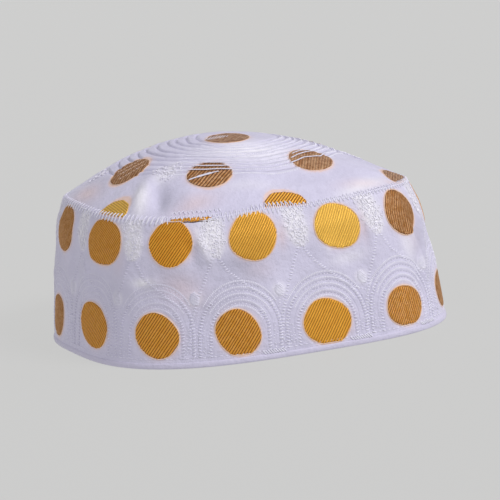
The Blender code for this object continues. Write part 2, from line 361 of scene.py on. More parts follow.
def bulb_share(run, height):
    across = np.abs(wrapped(run[..., None] - VALLEYS - BULB_SHIFT)).min(-1)
    return np.exp(-((across**2 + (height - BULB_HEIGHT)**2)/BULB_REACH**2)**1.5)


def crease(run, height):
    angle = run/GIRTH*2*np.pi
    middle = np.sin(np.pi*limited(height/SEAM_HEIGHT))
    return (ripples(angle, height, SMALL_WRINKLES)*middle
            + ripples(angle, height, BROAD_WRINKLES)*bell(height - BROAD_HEIGHT, BROAD_REACH))


def wall(run, height, out=0.0):
    """Points of the wall's face, moved outwards by out."""
    run, height, out = np.broadcast_arrays(np.asarray(run, float), np.asarray(height, float), out)
    depth = (wall_fold(run, height) + wall_fold(run, height, SMALL_FOLDS) + arch_relief(run, height)
             + crease(run, height) + BULB_PUFF*bulb_share(run, height) + out
             - WALL_INSET*limited((SEAM_HEIGHT - 2 - height)/4))
    for level, width, deep in HEM_LINES:
        depth = depth - deep*bell(height - level, width)
    return plain_wall(run, height) + depth[..., None]*outward(run, height)


# Crown surface

# Soft folds of the crown, and small folds of its embroidered face alone: rows as in mounds
CROWN_FOLDS = [
    (-61, -33, 13, 4, 54, 1.4), (-56.5, -45, 10, 4, 60, -1.6), (-2, -60, 14, 6, 10, -0.8),
    (48, -32, 13, 8, -35, -1.5), (-22, -6, 12, 8, 0, -0.8), (30, 52, 16, 7, 30, -1.4),
    (-40, 48, 14, 6, -40, 1), (55, 20, 12, 7, 80, 0.9)]
SMALL_CROWN_FOLDS = [
    (-66.5, -37.5, 12, 4, 54, 1.5), (-59.3, -43.7, 11, 3, 64, -1.8), (-49, -53.5, 9, 4.5, 50, 0.6),
    (-68, -12, 8, 5, 80, -0.5), (5, -63, 16, 4, 5, -0.4), (38, -58, 14, 5, -20, 0.5)]

# Places of the crown where gold glows through, patches of painted shade, and painted highlights
CROWN_GLOW = [
    (-72.6, 11, 6, 13, 0, 0.6), (-48, -59, 11, 6, 0, 0.5), (31, -71.5, 13, 3.5, 0, 0.38),
    (47, -70, 5, 3, 0, 0.5)]
CROWN_PAINTED_SHADE = [
    (-57, -44.5, 10, 3.2, 66, 1), (-72, 11, 16, 10, 90, 0.8), (-50, -58, 11, 5, -35, 0.55)]
CROWN_SHINE = [
    (-47, -29, 7, 6, 0, 0.9), (-65.5, -37.5, 11, 3.6, 60, 0.9), (-9, -34, 24, 11, -25, 0.85),
    (30, -73, 15, 3.5, 18, 0.8), (-22, -60, 16, 4, -20, 0.25)]
CROWN_WRINKLES = ((0.1, 0.23, 0.31, 0.6, -0.17, 0.41, 0), (0.06, 0.53, -0.2, 2, 0.37, 0.29, 0))

# Spots of the crown: the plan place of the middle, the gold's painted shade, or its painted sheen
# where negative, and the heading, contrast and pitch of its ribs. The seam cuts the outer ones.
# The last eight have the usual ribs.
CROWN_SPOTS = [
    (-55.6, -3.4, 0.7, 38, 1.1, 1.7), (-33.8, -45.2, 0.65, 37, 1.35, 1.55),
    (16.3, -49.9, 0.75, 58, 0.5, 1.3), (57.9, -62, 0.8, 56, 0.7, 1.3),
    (-8.1, -12.7, 0.85, 45, 0.5, 1.6), (-77, -27.5, -1, 88, 1.1, 1.15),
    (-11.3, -76.6, -0.3, 42, 1.5, 1.22),
    *((x, y, dull, 45, 1, 1.3) for x, y, dull in [
        (45.5, 3, 0.7), (-28, 37, 0.7), (21.6, 32, 0.7), (72, -16, 0.4), (-52, 66, 0.3),
        (0, 75, 0.3), (49.5, 68, 0.3), (74, 34, 0.3)])]
CROWN_SPOT_MIDDLES = np.array(CROWN_SPOTS)[:, :2]
CROWN_SPOT_RADIUS = 10.4

# Rings quilted into the crown. Their reach and their step differ along four headings:
# right, back, left and front of the medallion, which is turned from the cap's X axis.
MEDALLION_MIDDLE = np.array([-1.3, -2.7])
MEDALLION_TURN = math.radians(25.45)
RING_REACH = np.array([23.0, 25.0, 17.0, 25.0])
RING_STEPS = np.array([3.1, 3.0, 4.8, 3.0])
RING_COUNT = 10
RING_GROOVE = 0.85
RING_GROOVE_WIDTH = 0.75
RING_PUFF = 0.35
RING_EDGE = 1.0
# Hand-sewn unevenness of a ring: height, waves round, start for each ring
RING_WOBBLE = ((0.35, 2, 1.7), (0.25, 5, 2.9), (0.15, 11, 4.1))


def crown_place(x, y):
    """Run and share of the crown's point over a plan point. The share is 1 on the seam."""
    _, half_length, half_width, shift_x, shift_y = WALL_SECTIONS[-1]
    share = np.full(np.shape(x), 0.5)
    angle = np.arctan2(y, x)
    for _ in range(26):
        dx = (x - shift_x - APEX_SHIFT[0]*(1 - share))/half_length
        dy = (y - shift_y - APEX_SHIFT[1]*(1 - share))/half_width
        for _ in range(2):
            angle = np.arctan2(dy/(1 + PLAN_EGG*np.cos(angle)), dx)
        found = np.hypot(dx, dy/(1 + PLAN_EGG*np.cos(angle)))
        found = found/unit_radius(angle, limited(share)**CROWN_ROUNDING)
        share = 0.5*(share + np.clip(found, 0, 1.3))
    return run_of(angle), share


def crown_fold(x, y, share, folds=CROWN_FOLDS):
    return mounds(x, y, folds).sum(-1)*(1 - share**18)


def crown_height(x, y):
    run, share = crown_place(x, y)
    share = limited(share)
    dome = DOME_RISE*(1 - share**DOME_POWER)
    return SEAM_HEIGHT + SEAM_GAP + dome + seam_rise(run)*share**3 + crown_fold(x, y, share)


def ring_radius(k, angle):
    """Radius of the k-th quilted ring, sewn by hand and so a little uneven."""
    right, back, left, front = RING_REACH + k*RING_STEPS
    c, s = np.cos(angle + MEDALLION_TURN), np.sin(angle + MEDALLION_TURN)
    oval = 1/np.hypot(c/np.where(c > 0, right, left), s/np.where(s > 0, back, front))
    return oval + sum(high*np.sin(waves*angle + start*k) for high, waves, start in RING_WOBBLE)


def medallion_lines(x, y):
    """Radius from the medallion's middle, each ring's radius that way, and how far left it lies."""
    dx, dy = x - MEDALLION_MIDDLE[0], y - MEDALLION_MIDDLE[1]
    angle = np.arctan2(dy, dx)
    lines = np.stack([ring_radius(k, angle) for k in range(RING_COUNT)])
    return np.hypot(dx, dy), lines, np.maximum(0, -np.cos(angle + MEDALLION_TURN))


def spot_gap(x, y):
    """How far a plan place lies outside the nearest spot of the crown."""
    away = np.hypot(x[..., None] - CROWN_SPOT_MIDDLES[:, 0], y[..., None] - CROWN_SPOT_MIDDLES[:, 1])
    return away.min(-1) - CROWN_SPOT_RADIUS


def ring_relief(x, y):
    """Grooves along the quilted rings and puffs between them, flattened under the golden spots."""
    r, lines, leftward = medallion_lines(x, y)
    groove = bell(np.abs(r - lines).min(0), RING_GROOVE_WIDTH*(1 - 0.25*leftward))
    held = 1/(1 + np.exp((r - lines[-1] - RING_EDGE)/0.8))
    flattened = 0.12 + 0.88*limited((spot_gap(x, y) + 1)/2)
    return held*(RING_PUFF - (RING_GROOVE + RING_PUFF)*groove)*(0.5 + 0.42*leftward)*flattened


def crown_normal(x, y, step=0.4):
    slope_x = (crown_height(x + step, y) - crown_height(x - step, y))/(2*step)
    slope_y = (crown_height(x, y + step) - crown_height(x, y - step))/(2*step)
    return unit(np.stack([-slope_x, -slope_y, np.ones(np.shape(x))], -1))


def crown(x, y, out=0.0):
    """Points of the crown's face over plan points, moved along the normal by out."""
    x, y, out = np.broadcast_arrays(np.asarray(x, float), np.asarray(y, float), out)
    _, share = crown_place(x, y)
    depth = (ring_relief(x, y) + ripples(x, y, CROWN_WRINKLES)
             + crown_fold(x, y, share, SMALL_CROWN_FOLDS) + out)
    inside = limited((1 - share)/0.02)
    depth = np.where(share > 0.98, depth*inside + out*(1 - inside), depth)
    return np.stack([x, y, crown_height(x, y)], -1) + depth[..., None]*crown_normal(x, y)


def seam_plan(run, share=1.0):
    """Plan point of the crown at a run and a share of the way out to the seam."""
    _, half_length, half_width, *shift = WALL_SECTIONS[-1]
    share = np.asarray(share, float)
    flat = plan_point(angle_of(run), half_length*share, half_width*share, share**CROWN_ROUNDING)
    return flat + shift + APEX_SHIFT*(1 - share[..., None])


# Mesh making

def grid_quads(rows, columns, around=False, closed=False):
    """Quads between neighbouring rows of a grid, whose points run along the rows."""
    i, j = np.meshgrid(np.arange(rows if closed else rows - 1),
                       np.arange(columns if around else columns - 1), indexing="ij")
    k, after = (j + 1) % columns, (i + 1) % rows
    quads = np.stack([i*columns + j, i*columns + k, after*columns + k, after*columns + j], -1)
    return quads.reshape(-1, 4)


def make_piece(name, points, faces, material, uv, values, uv_wrap=None):
    """A smooth mesh piece from points in millimetres, lists of faces, and values at the points.
    A piece of quads that closes round the cap gives the girth at which its map wraps."""
    mesh = bpy.data.meshes.new(name)
    corners = np.concatenate([part.ravel() for part in faces]).astype(np.int32)
    sizes = np.concatenate([np.full(len(part), part.shape[1]) for part in faces])
    mesh.vertices.add(len(points))
    mesh.vertices.foreach_set("co", (np.asarray(points)*MM).astype(np.float32).ravel())
    mesh.loops.add(len(corners))
    mesh.loops.foreach_set("vertex_index", corners)
    mesh.polygons.add(len(sizes))
    mesh.polygons.foreach_set("loop_start", np.r_[0, np.cumsum(sizes)[:-1]].astype(np.int32))
    mesh.update(calc_edges=True)
    mesh.validate()
    mesh.shade_smooth()
    at = np.asarray(uv, float)[corners]
    if uv_wrap:
        u = at[:, 0].reshape(-1, 4)
        torn = np.ptp(u, axis=1, keepdims=True) > uv_wrap/2
        at[:, 0] = np.where(torn & (u < uv_wrap/2), u + uv_wrap, u).ravel()
    mesh.uv_layers.new(name="cloth").data.foreach_set("uv", at.astype(np.float32).ravel())
    for key, value in values.items():
        attribute = mesh.attributes.new(key, "FLOAT", "POINT")
        attribute.data.foreach_set("value", np.asarray(value, np.float32).ravel())
    obj = bpy.data.objects.new(name, mesh)
    bpy.context.scene.collection.objects.link(obj)
    obj.data.materials.append(material)
    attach(obj, BODY)
    return obj


THREAD_SIDES = 6
# Lift along a short stitch of four or of three steps, whose ends dive into the cloth
DIVE = np.array([-1.2, 0.6, 0.6, -1.2])
SHORT_DIVE = np.array([-1.2, 0.7, -1.2])


class Gathered:
    """Threads and ribbed patches laid on the cloth, gathered into one mesh."""

    def __init__(self):
        self.parts, self.names, self.count = [], (), 0

    def add(self, points, quads, uv, **values):
        shape = points.shape[:-1]
        self.names = tuple(values)
        self.parts.append((points.reshape(-1, 3), quads + self.count, uv.reshape(-1, 2),
                           *(np.broadcast_to(value, shape).ravel() for value in values.values())))
        self.count += points.size//3

    def lay(self, place, path, out, width, thick, rng=None, blunt=0.55, fades=True):
        """Sweeps a round thread along each path of cloth places, shaped paths x steps x 2."""
        paths, steps = path.shape[:2]
        fade = np.zeros(paths)
        if fades and place is wall:
            fade = stitch_fade(path[:, 0, 0])
        out = np.broadcast_to(out, (paths, steps))
        width = np.broadcast_to(width, (paths,))[:, None, None, None]
        thick = (np.broadcast_to(thick, (paths,))*(1 - 0.4*fade))[:, None, None, None]
        middle = place(path[..., 0], path[..., 1], out)
        normal = unit(place(path[..., 0], path[..., 1], out + 0.3) - middle)
        side = unit(np.cross(unit(np.gradient(middle, axis=1)), normal))
        size = (1 - (1 - blunt)*np.abs(np.linspace(-1, 1, steps))**4)[None, :, None, None]
        turn = 2*np.pi*(np.arange(THREAD_SIDES) + 0.5)/THREAD_SIDES
        ring = (side[:, :, None]*np.cos(turn)[:, None]*width/2
                + normal[:, :, None]*np.sin(turn)[:, None]*thick/2)*size
        points = middle[:, :, None] + ring
        shape = points.shape[:3]
        length = np.cumsum(np.linalg.norm(np.diff(middle, axis=1, prepend=middle[:, :1]), axis=-1), 1)
        uv = np.stack([np.broadcast_to(length[..., None], shape),
                       np.broadcast_to(np.arange(THREAD_SIDES)/THREAD_SIDES, shape)], -1)
        starts = np.arange(paths)*steps*THREAD_SIDES
        body = grid_quads(steps, THREAD_SIDES, around=True) + starts[:, None, None]
        last = (steps - 1)*THREAD_SIDES
        caps = np.array([(3, 2, 1, 0), (5, 4, 3, 0), (last, last + 1, last + 2, last + 3),
                         (last, last + 3, last + 4, last + 5)])[:, None] + starts[:, None]
        quads = np.concatenate([body.reshape(-1, 4), caps.reshape(-1, 4)])
        tone = rng.uniform(0, 1, paths) if rng is not None else np.full(paths, 0.5)
        # Faded threads are painted towards the grey tone, as shade
        self.add(points, quads, uv, tone=np.maximum(0.4*tone, 0.6*fade)[:, None, None])

    def piece(self, name, material, slot="white_thread"):
        points, quads, uv, *values = (np.concatenate(part) for part in zip(*self.parts))
        return make_piece(name, points, [quads], material, uv, dict(zip(self.names, values)))


def resample(path, step):
    """Points at even steps along a path of cloth places, and the direction at each."""
    lengths = np.r_[0, np.cumsum(np.hypot(*np.diff(path, axis=0).T))]
    count = max(2, int(round(lengths[-1]/step)) + 1)
    at = np.linspace(0, lengths[-1], count)
    points = np.stack([np.interp(at, lengths, path[:, i]) for i in range(2)], -1)
    direction = np.gradient(points, axis=0)
    return points, np.arctan2(direction[:, 1], direction[:, 0])


def bars(middles, headings, lengths, steps=4):
    """Straight stitches as paths of cloth places."""
    reach = np.linspace(-0.5, 0.5, steps)*np.broadcast_to(lengths, (len(middles),))[:, None]
    headings = np.broadcast_to(headings, (len(middles),))[:, None]
    return middles[:, None] + np.stack([reach*np.cos(headings), reach*np.sin(headings)], -1)


def lay_curls(threads, place, places, radii, lifts, width, thick, rng):
    """Small open loops of thread, with a lowest and a highest radius and lift."""
    n = len(places)
    radius = rng.uniform(*radii, n)
    start = rng.uniform(0, 2*np.pi, n)
    sweep = rng.uniform(*CURL_SWEEP, n)*rng.choice([-1, 1], n)
    a = start[:, None] + sweep[:, None]*np.linspace(0, 1, CURL_STEPS)
    path = places[:, None] + radius[:, None, None]*np.stack([np.cos(a), np.sin(a)], -1)
    threads.lay(place, path, rng.uniform(*lifts, (n, 1)), width, thick, rng, fades=False)


def scattered(rng, low, high, inside, apart, tries):
    """Random places inside a shape, each at least a distance apart from the others."""
    kept = np.zeros((0, 2))
    for place in rng.uniform(low, high, (tries, 2)):
        if inside(place) and (len(kept) == 0 or np.hypot(*(kept - place).T).min() > apart):
            kept = np.vstack([kept, place])
    return kept


# Materials

WAVE_PERIOD = 2*math.pi/20
WEAVE_PITCH = 0.32
TWIST_PITCH = 0.28
FLOAT_PITCH = 0.34
GROOVE_SHARE = 0.20
CLOTH_WHITE = (0.74, 0.71, 0.88)
# The hem's cotton, painted darker as shade at the foot of the cap
HEM_SHADED_WHITE = (0.67, 0.635, 0.79)
CLOTH_SHADE = (0.64, 0.61, 0.77)
CLOTH_PAINTED_SHADE = (0.55, 0.53, 0.66)
CLOTH_GLOW = (0.83, 0.66, 0.70)
CLOTH_PEACH = (0.90, 0.60, 0.42)
# Painted shade along the sewn grooves
GROOVE_PAINTED_SHADE = (0.36, 0.34, 0.48)
# Painted highlight of the satin face
CLOTH_SHINE = (0.97, 0.945, 1.0)
# A lighter copy of the white thread, painted as the highlight of glossy curls
THREAD_PAINTED_HIGHLIGHT = (0.955, 0.93, 1.0)
THREAD_PEARL = (0.84, 0.815, 0.98)
THREAD_WHITE = (0.91, 0.89, 1.0)
THREAD_GREY = (0.69, 0.66, 0.82)
THREAD_SHEEN = (0.86, 0.84, 1.0)
GOLD_BRIGHT = (0.88, 0.362, 0.036)
GOLD_PALE = (1.0, 0.52, 0.065)
# Gold painted with sheen, gold painted with shade, and random plum mottling of the shaded gold
GOLD_PAINTED_SHEEN = (1.0, 0.63, 0.12)
GOLD_SHADED = (0.58, 0.39, 0.285)
GOLD_PLUM = (0.27, 0.125, 0.095)
GOLD_DEEP = (0.24, 0.062, 0.006)
GOLD_DARK = (0.11, 0.05, 0.02)
CREAM = (0.86, 0.60, 0.42)
# Painted shadow in the slit of the seam
SLIT_DARK = (0.06, 0.045, 0.05)
SLIT_BROWN = (0.12, 0.08, 0.06)
FLOOR_GREY = (0.06, 0.06, 0.0597)
FLOOR_GLOW = (0.604, 0.604, 0.597)


class Shading:
    """A material's nodes. Each input is given a number, a colour or another node's output."""

    def __init__(self, name, **inputs):
        self.material = bpy.data.materials.new(name)
        self.material.use_nodes = True
        self.nodes = self.material.node_tree.nodes
        self.shader = self.nodes["Principled BSDF"]
        self.give(self.shader, inputs)

    def give(self, node, inputs):
        for key, value in inputs.items():
            socket = node.inputs[key if isinstance(key, int) else key.replace("_", " ")]
            if isinstance(value, bpy.types.NodeSocket):
                self.material.node_tree.links.new(value, socket)
            else:
                socket.default_value = (*value, 1) if socket.type == "RGBA" else value

    def node(self, kind, inputs, output=0, **settings):
        node = self.nodes.new("ShaderNode" + kind)
        for key, value in settings.items():
            setattr(node, key, value)
        self.give(node, inputs)
        return node.outputs[output]

    def math(self, operation, *values, clamp=False):
        return self.node("Math", dict(enumerate(values)), operation=operation, use_clamp=clamp)

    def scaled(self, value, factor, offset):
        return self.math("ADD", self.math("MULTIPLY", value, factor), offset)

    def mix(self, factor, first, second):
        return self.node("Mix", {"Factor": factor, 6: first, 7: second}, 2, data_type="RGBA")

    def between(self, value, low, high, at_low=0.0, at_high=1.0):
        limits = {"Value": value, "From Min": low, "From Max": high, "To Min": at_low, "To Max": at_high}
        return self.node("MapRange", limits, interpolation_type="SMOOTHSTEP")

    def attribute(self, name):
        return self.node("Attribute", {}, "Fac", attribute_name=name)

    def noise(self, vector, scale, detail=2.0, rough=0.5):
        return self.node("TexNoise", {"Vector": vector, "Scale": scale, "Detail": detail, "Roughness": rough},
                         "Fac")

    def wave(self, vector, pitch, direction, distortion):
        inputs = {"Vector": vector, "Scale": WAVE_PERIOD/pitch, "Distortion": distortion, "Detail": 1.0}
        return self.node("TexWave", inputs, "Fac", wave_type="BANDS", bands_direction=direction)

    def cloth(self):
        """Millimetres of cloth, from the piece's own map."""
        return self.node("UVMap", {}, "UV", uv_map="cloth")

    def bump(self, height, strength, distance, under=None):
        inputs = {"Height": height, "Strength": strength, "Distance": distance}
        if under is not None:
            inputs["Normal"] = under
        return self.node("Bump", inputs)

    def finish(self, **inputs):
        self.give(self.shader, inputs)
        return self.material


def groove_line(shade):
    """Narrow lines where the place among the sewn rings is a whole number: there the cloth gets painted shade
    and a bump.
    """
    whole = shade.math("FRACT", shade.math("ADD", shade.attribute("rings"), 0.5))
    gap = shade.math("ABSOLUTE", shade.math("SUBTRACT", whole, 0.5))
    line = shade.between(gap, 0.0, GROOVE_SHARE, 1.0, 0.0)
    return shade.math("MULTIPLY", line, shade.attribute("sewn"))


def cloth_material(name, embroidered=True, light=CLOTH_WHITE):
    """White cotton with a satin face: fine weave, soft mottling, and gold that glows through."""
    shade = Shading(name, Sheen_Weight=0.25, Sheen_Roughness=0.4, Specular_IOR_Level=0.35)
    cloth = shade.cloth()
    weave = shade.math("MULTIPLY", *(shade.wave(cloth, WEAVE_PITCH, way, 0.4) for way in "XY"))
    slub = shade.noise(cloth, 0.9, 3.0)
    mottle = shade.between(shade.noise(shade.node("TexCoord", {}, "Object"), 70.0, 4.0, 0.6), 0.32, 0.68)
    flecks = shade.noise(cloth, 0.26, 4.0, 0.6)
    mottle = shade.scaled(mottle, 0.44, shade.math("MULTIPLY", flecks, 0.36))
    tone = shade.mix(mottle, light, CLOTH_SHADE)
    wrinkle = shade.bump(shade.noise(cloth, 0.2, 4.0, 0.6), 0.6, 0.0016)
    normal = shade.bump(shade.scaled(slub, 0.8, weave), 0.35, 0.00012, wrinkle)
    if embroidered:
        # Painted shade: the cloth is darker on listed patches
        tone = shade.mix(shade.attribute("painted_shade"), tone, CLOTH_PAINTED_SHADE)
        # Painted highlight: the cloth is lighter where the face shines
        tone = shade.mix(shade.attribute("shine"), tone, CLOTH_SHINE)
        halo = shade.attribute("halo")
        tone = shade.mix(halo, tone, CLOTH_GLOW)
        tone = shade.mix(shade.math("POWER", halo, 4.0), tone, CLOTH_PEACH)
        # Painted shade along the sewn grooves, together with their bump
        groove = groove_line(shade)
        tone = shade.mix(shade.math("MULTIPLY", groove, 0.44), tone, GROOVE_PAINTED_SHADE)
        normal = shade.bump(shade.math("SUBTRACT", 1.0, groove), 0.8, 0.00028, normal)
    return shade.finish(Base_Color=tone, Normal=normal, Roughness=shade.scaled(slub, 0.2, 0.42))


def thread_material(name, light, dark, rough=0.38):
    """Glossy embroidery thread with a fine twist; each stitch has its own tone, painted greyer as shade where
    the stitches fade.
    """
    shade = Shading(name, Roughness=rough, Sheen_Weight=0.3, Sheen_Tint=THREAD_SHEEN, Specular_IOR_Level=0.5)
    slanted = {"Vector": shade.cloth(), "Scale": (1.0, 1.2, 1.0), "Rotation": (0, 0, 0.6)}
    twist = shade.wave(shade.node("Mapping", slanted), TWIST_PITCH, "X", 0.5)
    return shade.finish(Base_Color=shade.mix(shade.attribute("tone"), light, dark),
                        Normal=shade.bump(twist, 0.4, 0.00008))


def gold_material(name):
    """Golden twill: bright floats of metal thread, brown where the ground shows between them. Each spot's
    gold is painted dull and dark as shade, or pale yellow as sheen.
    """
    shade = Shading(name, Metallic=0.55, Specular_IOR_Level=0.15)
    cloth = shade.cloth()
    floats = shade.wave(cloth, FLOAT_PITCH, "Y", 1.2)
    patchy = shade.noise(cloth, 0.32)
    blotch = shade.between(shade.noise(cloth, 0.42, 3.0, 0.6), 0.40, 0.62)
    # Painted shade turns the gold dull and dark, and painted sheen turns it pale yellow
    dull = shade.attribute("dull")
    bright = shade.mix(patchy, GOLD_BRIGHT, GOLD_PALE)
    bright = shade.mix(dull, bright, shade.mix(blotch, GOLD_SHADED, GOLD_PLUM))
    bright = shade.mix(shade.attribute("pale"), bright, GOLD_PAINTED_SHEEN)
    grain = shade.math("MULTIPLY", shade.math("SUBTRACT", 0.5, floats), 0.35)
    # The dark ground between the ribs, with painted shade added, in random patches
    patchy_ground_and_shade = shade.math("MULTIPLY", shade.attribute("valley"), shade.scaled(shade.noise(cloth, 1.1), 0.9, 0.5))
    ground = shade.math("ADD", patchy_ground_and_shade, grain, clamp=True)
    return shade.finish(Base_Color=shade.mix(ground, bright, shade.mix(dull, GOLD_DEEP, GOLD_DARK)),
                        Normal=shade.bump(floats, 0.5, 0.0001), Roughness=shade.scaled(patchy, 0.2, 0.32))


# Stage, light and camera

FLOOR_HALF = 30.0
PHOTO_SIDE = 500
CAMERA_YAW = 25.45
CAMERA_ELEVATION = 9.15
CAMERA_ROLL = 4.23
CAMERA_DISTANCE = 0.88
CAMERA_AIM = Vector((0.0, -0.0002, 0.045))
PIXELS_PER_METRE = 2043.0
AIM_PIXEL = (238.4, 233.4)
SENSOR = 36.0
STUDIO_LIGHT = (0.96, 0.96, 1.0)
STUDIO_STRENGTH = 0.45
# Soft suns: azimuth from the front towards +X, elevation, strength, spread, colour
SUNS = {
    "key_light": (32, 44, 1.63, 22, (0.985, 0.975, 1.0)),
    "side_light": (95, 30, 0.35, 50, (0.97, 0.97, 1.0)),
    "fill_light": (-70, 30, 0.22, 60, (0.95, 0.96, 1.0)),
}


def in_scene(name, data):
    obj = bpy.data.objects.new(name, data)
    bpy.context.scene.collection.objects.link(obj)
    return obj


def place_camera():
    yaw, elevation, roll = (math.radians(a) for a in (CAMERA_YAW, CAMERA_ELEVATION, CAMERA_ROLL))
    right = Vector((math.cos(yaw), -math.sin(yaw), 0))
    back = Vector((-math.sin(yaw)*math.cos(elevation), -math.cos(yaw)*math.cos(elevation),
                   math.sin(elevation)))
    up = back.cross(right)
    data = bpy.data.cameras.new("camera")
    camera = in_scene("camera", data)
    x_axis = math.cos(roll)*right - math.sin(roll)*up
    y_axis = math.sin(roll)*right + math.cos(roll)*up
    tilt = Matrix((x_axis, y_axis, back)).transposed().to_4x4()
    camera.matrix_world = Matrix.Translation(CAMERA_AIM + CAMERA_DISTANCE*back) @ tilt
    data.sensor_width = SENSOR
    data.lens = PIXELS_PER_METRE*CAMERA_DISTANCE*SENSOR/PHOTO_SIDE
    data.shift_x = 0.5 - AIM_PIXEL[0]/PHOTO_SIDE
    data.shift_y = AIM_PIXEL[1]/PHOTO_SIDE - 0.5
    data.clip_start, data.clip_end = 0.05, 100
    bpy.context.scene.camera = camera


def place_stage():
    world = bpy.data.worlds.new("studio")
    world.use_nodes = True
    background = world.node_tree.nodes["Background"]
    background.inputs["Color"].default_value = (*STUDIO_LIGHT, 1)
    background.inputs["Strength"].default_value = STUDIO_STRENGTH
    bpy.context.scene.world = world
    bpy.context.scene.view_settings.view_transform = "Standard"
    for name, (azimuth, elevation, strength, soft, colour) in SUNS.items():
        a, e = math.radians(azimuth), math.radians(elevation)
        towards = Vector((math.sin(a)*math.cos(e), -math.cos(a)*math.cos(e), math.sin(e)))
        data = bpy.data.lights.new(name, "SUN")
        data.energy, data.angle, data.color = strength, math.radians(soft), colour
        lamp = in_scene(name, data)
        lamp.rotation_mode = "QUATERNION"
        lamp.rotation_quaternion = towards.to_track_quat("Z", "Y")
    mesh = bpy.data.meshes.new("floor")
    corners = np.array([(-1, -1, 0), (1, -1, 0), (1, 1, 0), (-1, 1, 0)])*FLOOR_HALF
    mesh.from_pydata(corners.tolist(), [], [(0, 1, 2, 3)])
    shade = Shading("pale_floor", Base_Color=FLOOR_GREY, Roughness=0.9, Specular_IOR_Level=0.1,
                    Emission_Color=FLOOR_GLOW, Emission_Strength=0.905)
    mesh.materials.append(shade.material)
    floor = in_scene("floor", mesh)


# Cloth pieces

def make_band(name, run, height, points, material, values):
    """A closed band of cloth round the cap, from a grid of its runs and heights."""
    quads = grid_quads(*height.shape, around=True, closed=True)
    uv = np.stack([run.ravel(), height.ravel()], -1)
    return make_piece(name, points.reshape(-1, 3), [quads], material, uv, values, GIRTH)


def even_runs(count):
    return np.arange(count)*GIRTH/count


WALL_COLUMNS = 900
ARCH_TOP = 38.0
ARCH_ROWS = 66
PLAIN_ROWS = 26
INNER_ROWS = 9
WALL_FOOT = 1.6
# Glow round the spots: strength and reach of its wide uneven part and of the part close by
WALL_GLOW = (0.55, 2.6, 0.9, 1.1)
CROWN_SPOT_GLOW = (0.45, 2.2, 0.85, 0.8)
WALL_GLOW_WAVES = ((0.4, 0.31, 0, 1.1, 0.07, 0.23, 0),)
CROWN_GLOW_WAVES = ((0.4, 0.31, 0, 1.1, 0.05, 0.27, 0),)
# How much faster the glow of the crown's spots ends at the seam
CROWN_GLOW_END = 3.2


def spot_distance(run, height, spots):
    """How far each place lies outside the nearest spot's edge, and how far towards its right, -1 to 1."""
    best = np.full(np.shape(run), 99.0)
    way = np.zeros(np.shape(run))
    for middle, up, long_half, short_half, tilt, _, _ in spots:
        x, y = wrapped(run - middle), height - up
        along, across = turned(x, y, tilt)
        gap = (np.hypot(along/long_half, across/short_half) - 1)*np.sqrt(long_half*short_half)
        way = np.where(gap < best, x/(np.hypot(x, y) + 1e-6), way)
        best = np.minimum(best, gap)
    return best, way


def spot_glow(gap, uneven, wide, wide_reach, close, close_reach):
    """Warm glow round the spots, where the gold shows through from behind."""
    gap = np.maximum(gap, 0)
    return np.maximum(wide*bell(gap, wide_reach)*uneven, close*bell(gap, close_reach))


def wall_halo(run, height):
    gap, way = spot_distance(run, height, np.vstack([UPPER, LOWER]))
    uneven = (0.6 + ripples(run, height, WALL_GLOW_WAVES))*(0.65 + 0.35*way)
    return np.maximum(spot_glow(gap, uneven, *WALL_GLOW), swells(run, height, GLOW_PATCHES).max(-1))


def crown_halo(x, y):
    _, share = crown_place(x, y)
    gap = spot_gap(x, y)*(1 + CROWN_GLOW_END*limited(share)**10)
    glow = spot_glow(gap, 0.6 + ripples(x, y, CROWN_GLOW_WAVES), *CROWN_SPOT_GLOW)
    return np.maximum(glow, mounds(x, y, CROWN_GLOW).max(-1))


def build_wall(material):
    outer = np.r_[np.linspace(WALL_FOOT, ARCH_TOP, ARCH_ROWS),
                  np.linspace(ARCH_TOP, SEAM_HEIGHT, PLAIN_ROWS)[1:]]
    inner = np.linspace(SEAM_HEIGHT, WALL_FOOT, INNER_ROWS)
    run, height = np.meshgrid(even_runs(WALL_COLUMNS), np.r_[outer, inner])
    face, back = slice(0, len(outer)), slice(len(outer), None)
    depth = wall_fold(run[back], height[back]) - CLOTH_THICK
    inside = plain_wall(run[back], height[back]) + depth[..., None]*outward(run[back], height[back])
    points = np.concatenate([wall(run[face], height[face]), inside])
    rings, sewn = arch_rings(run, height)
    # Painted highlights on listed patches, on the ground under the tongues and on the bulbs
    shine = np.maximum(swells(run, height, SHINE_PATCHES).max(-1), tongue_share(run, height))
    # Listed patches of painted shade darken the cloth
    values = {"halo": wall_halo(run, height), "shine": np.maximum(shine, 0.6*bulb_share(run, height)),
              "painted_shade": swells(run, height, WALL_PAINTED_SHADE).max(-1), "rings": rings, "sewn": sewn}
    for key, left in (("halo", 0.5), ("shine", 0.0), ("sewn", 0.0)):
        values[key][back] *= left
    return make_band("wall_cloth", run, height, points, material, values)


CROWN_COLUMNS = 480
MEDALLION_ROWS = 104
OUTER_ROWS = 26
CROWN_INNER_ROWS = 10
CROWN_LIP = 0.9


def round_middle(radius, angles):
    """Plan places round the medallion's middle."""
    return MEDALLION_MIDDLE + radius[:, None]*np.stack([np.cos(angles), np.sin(angles)], -1)


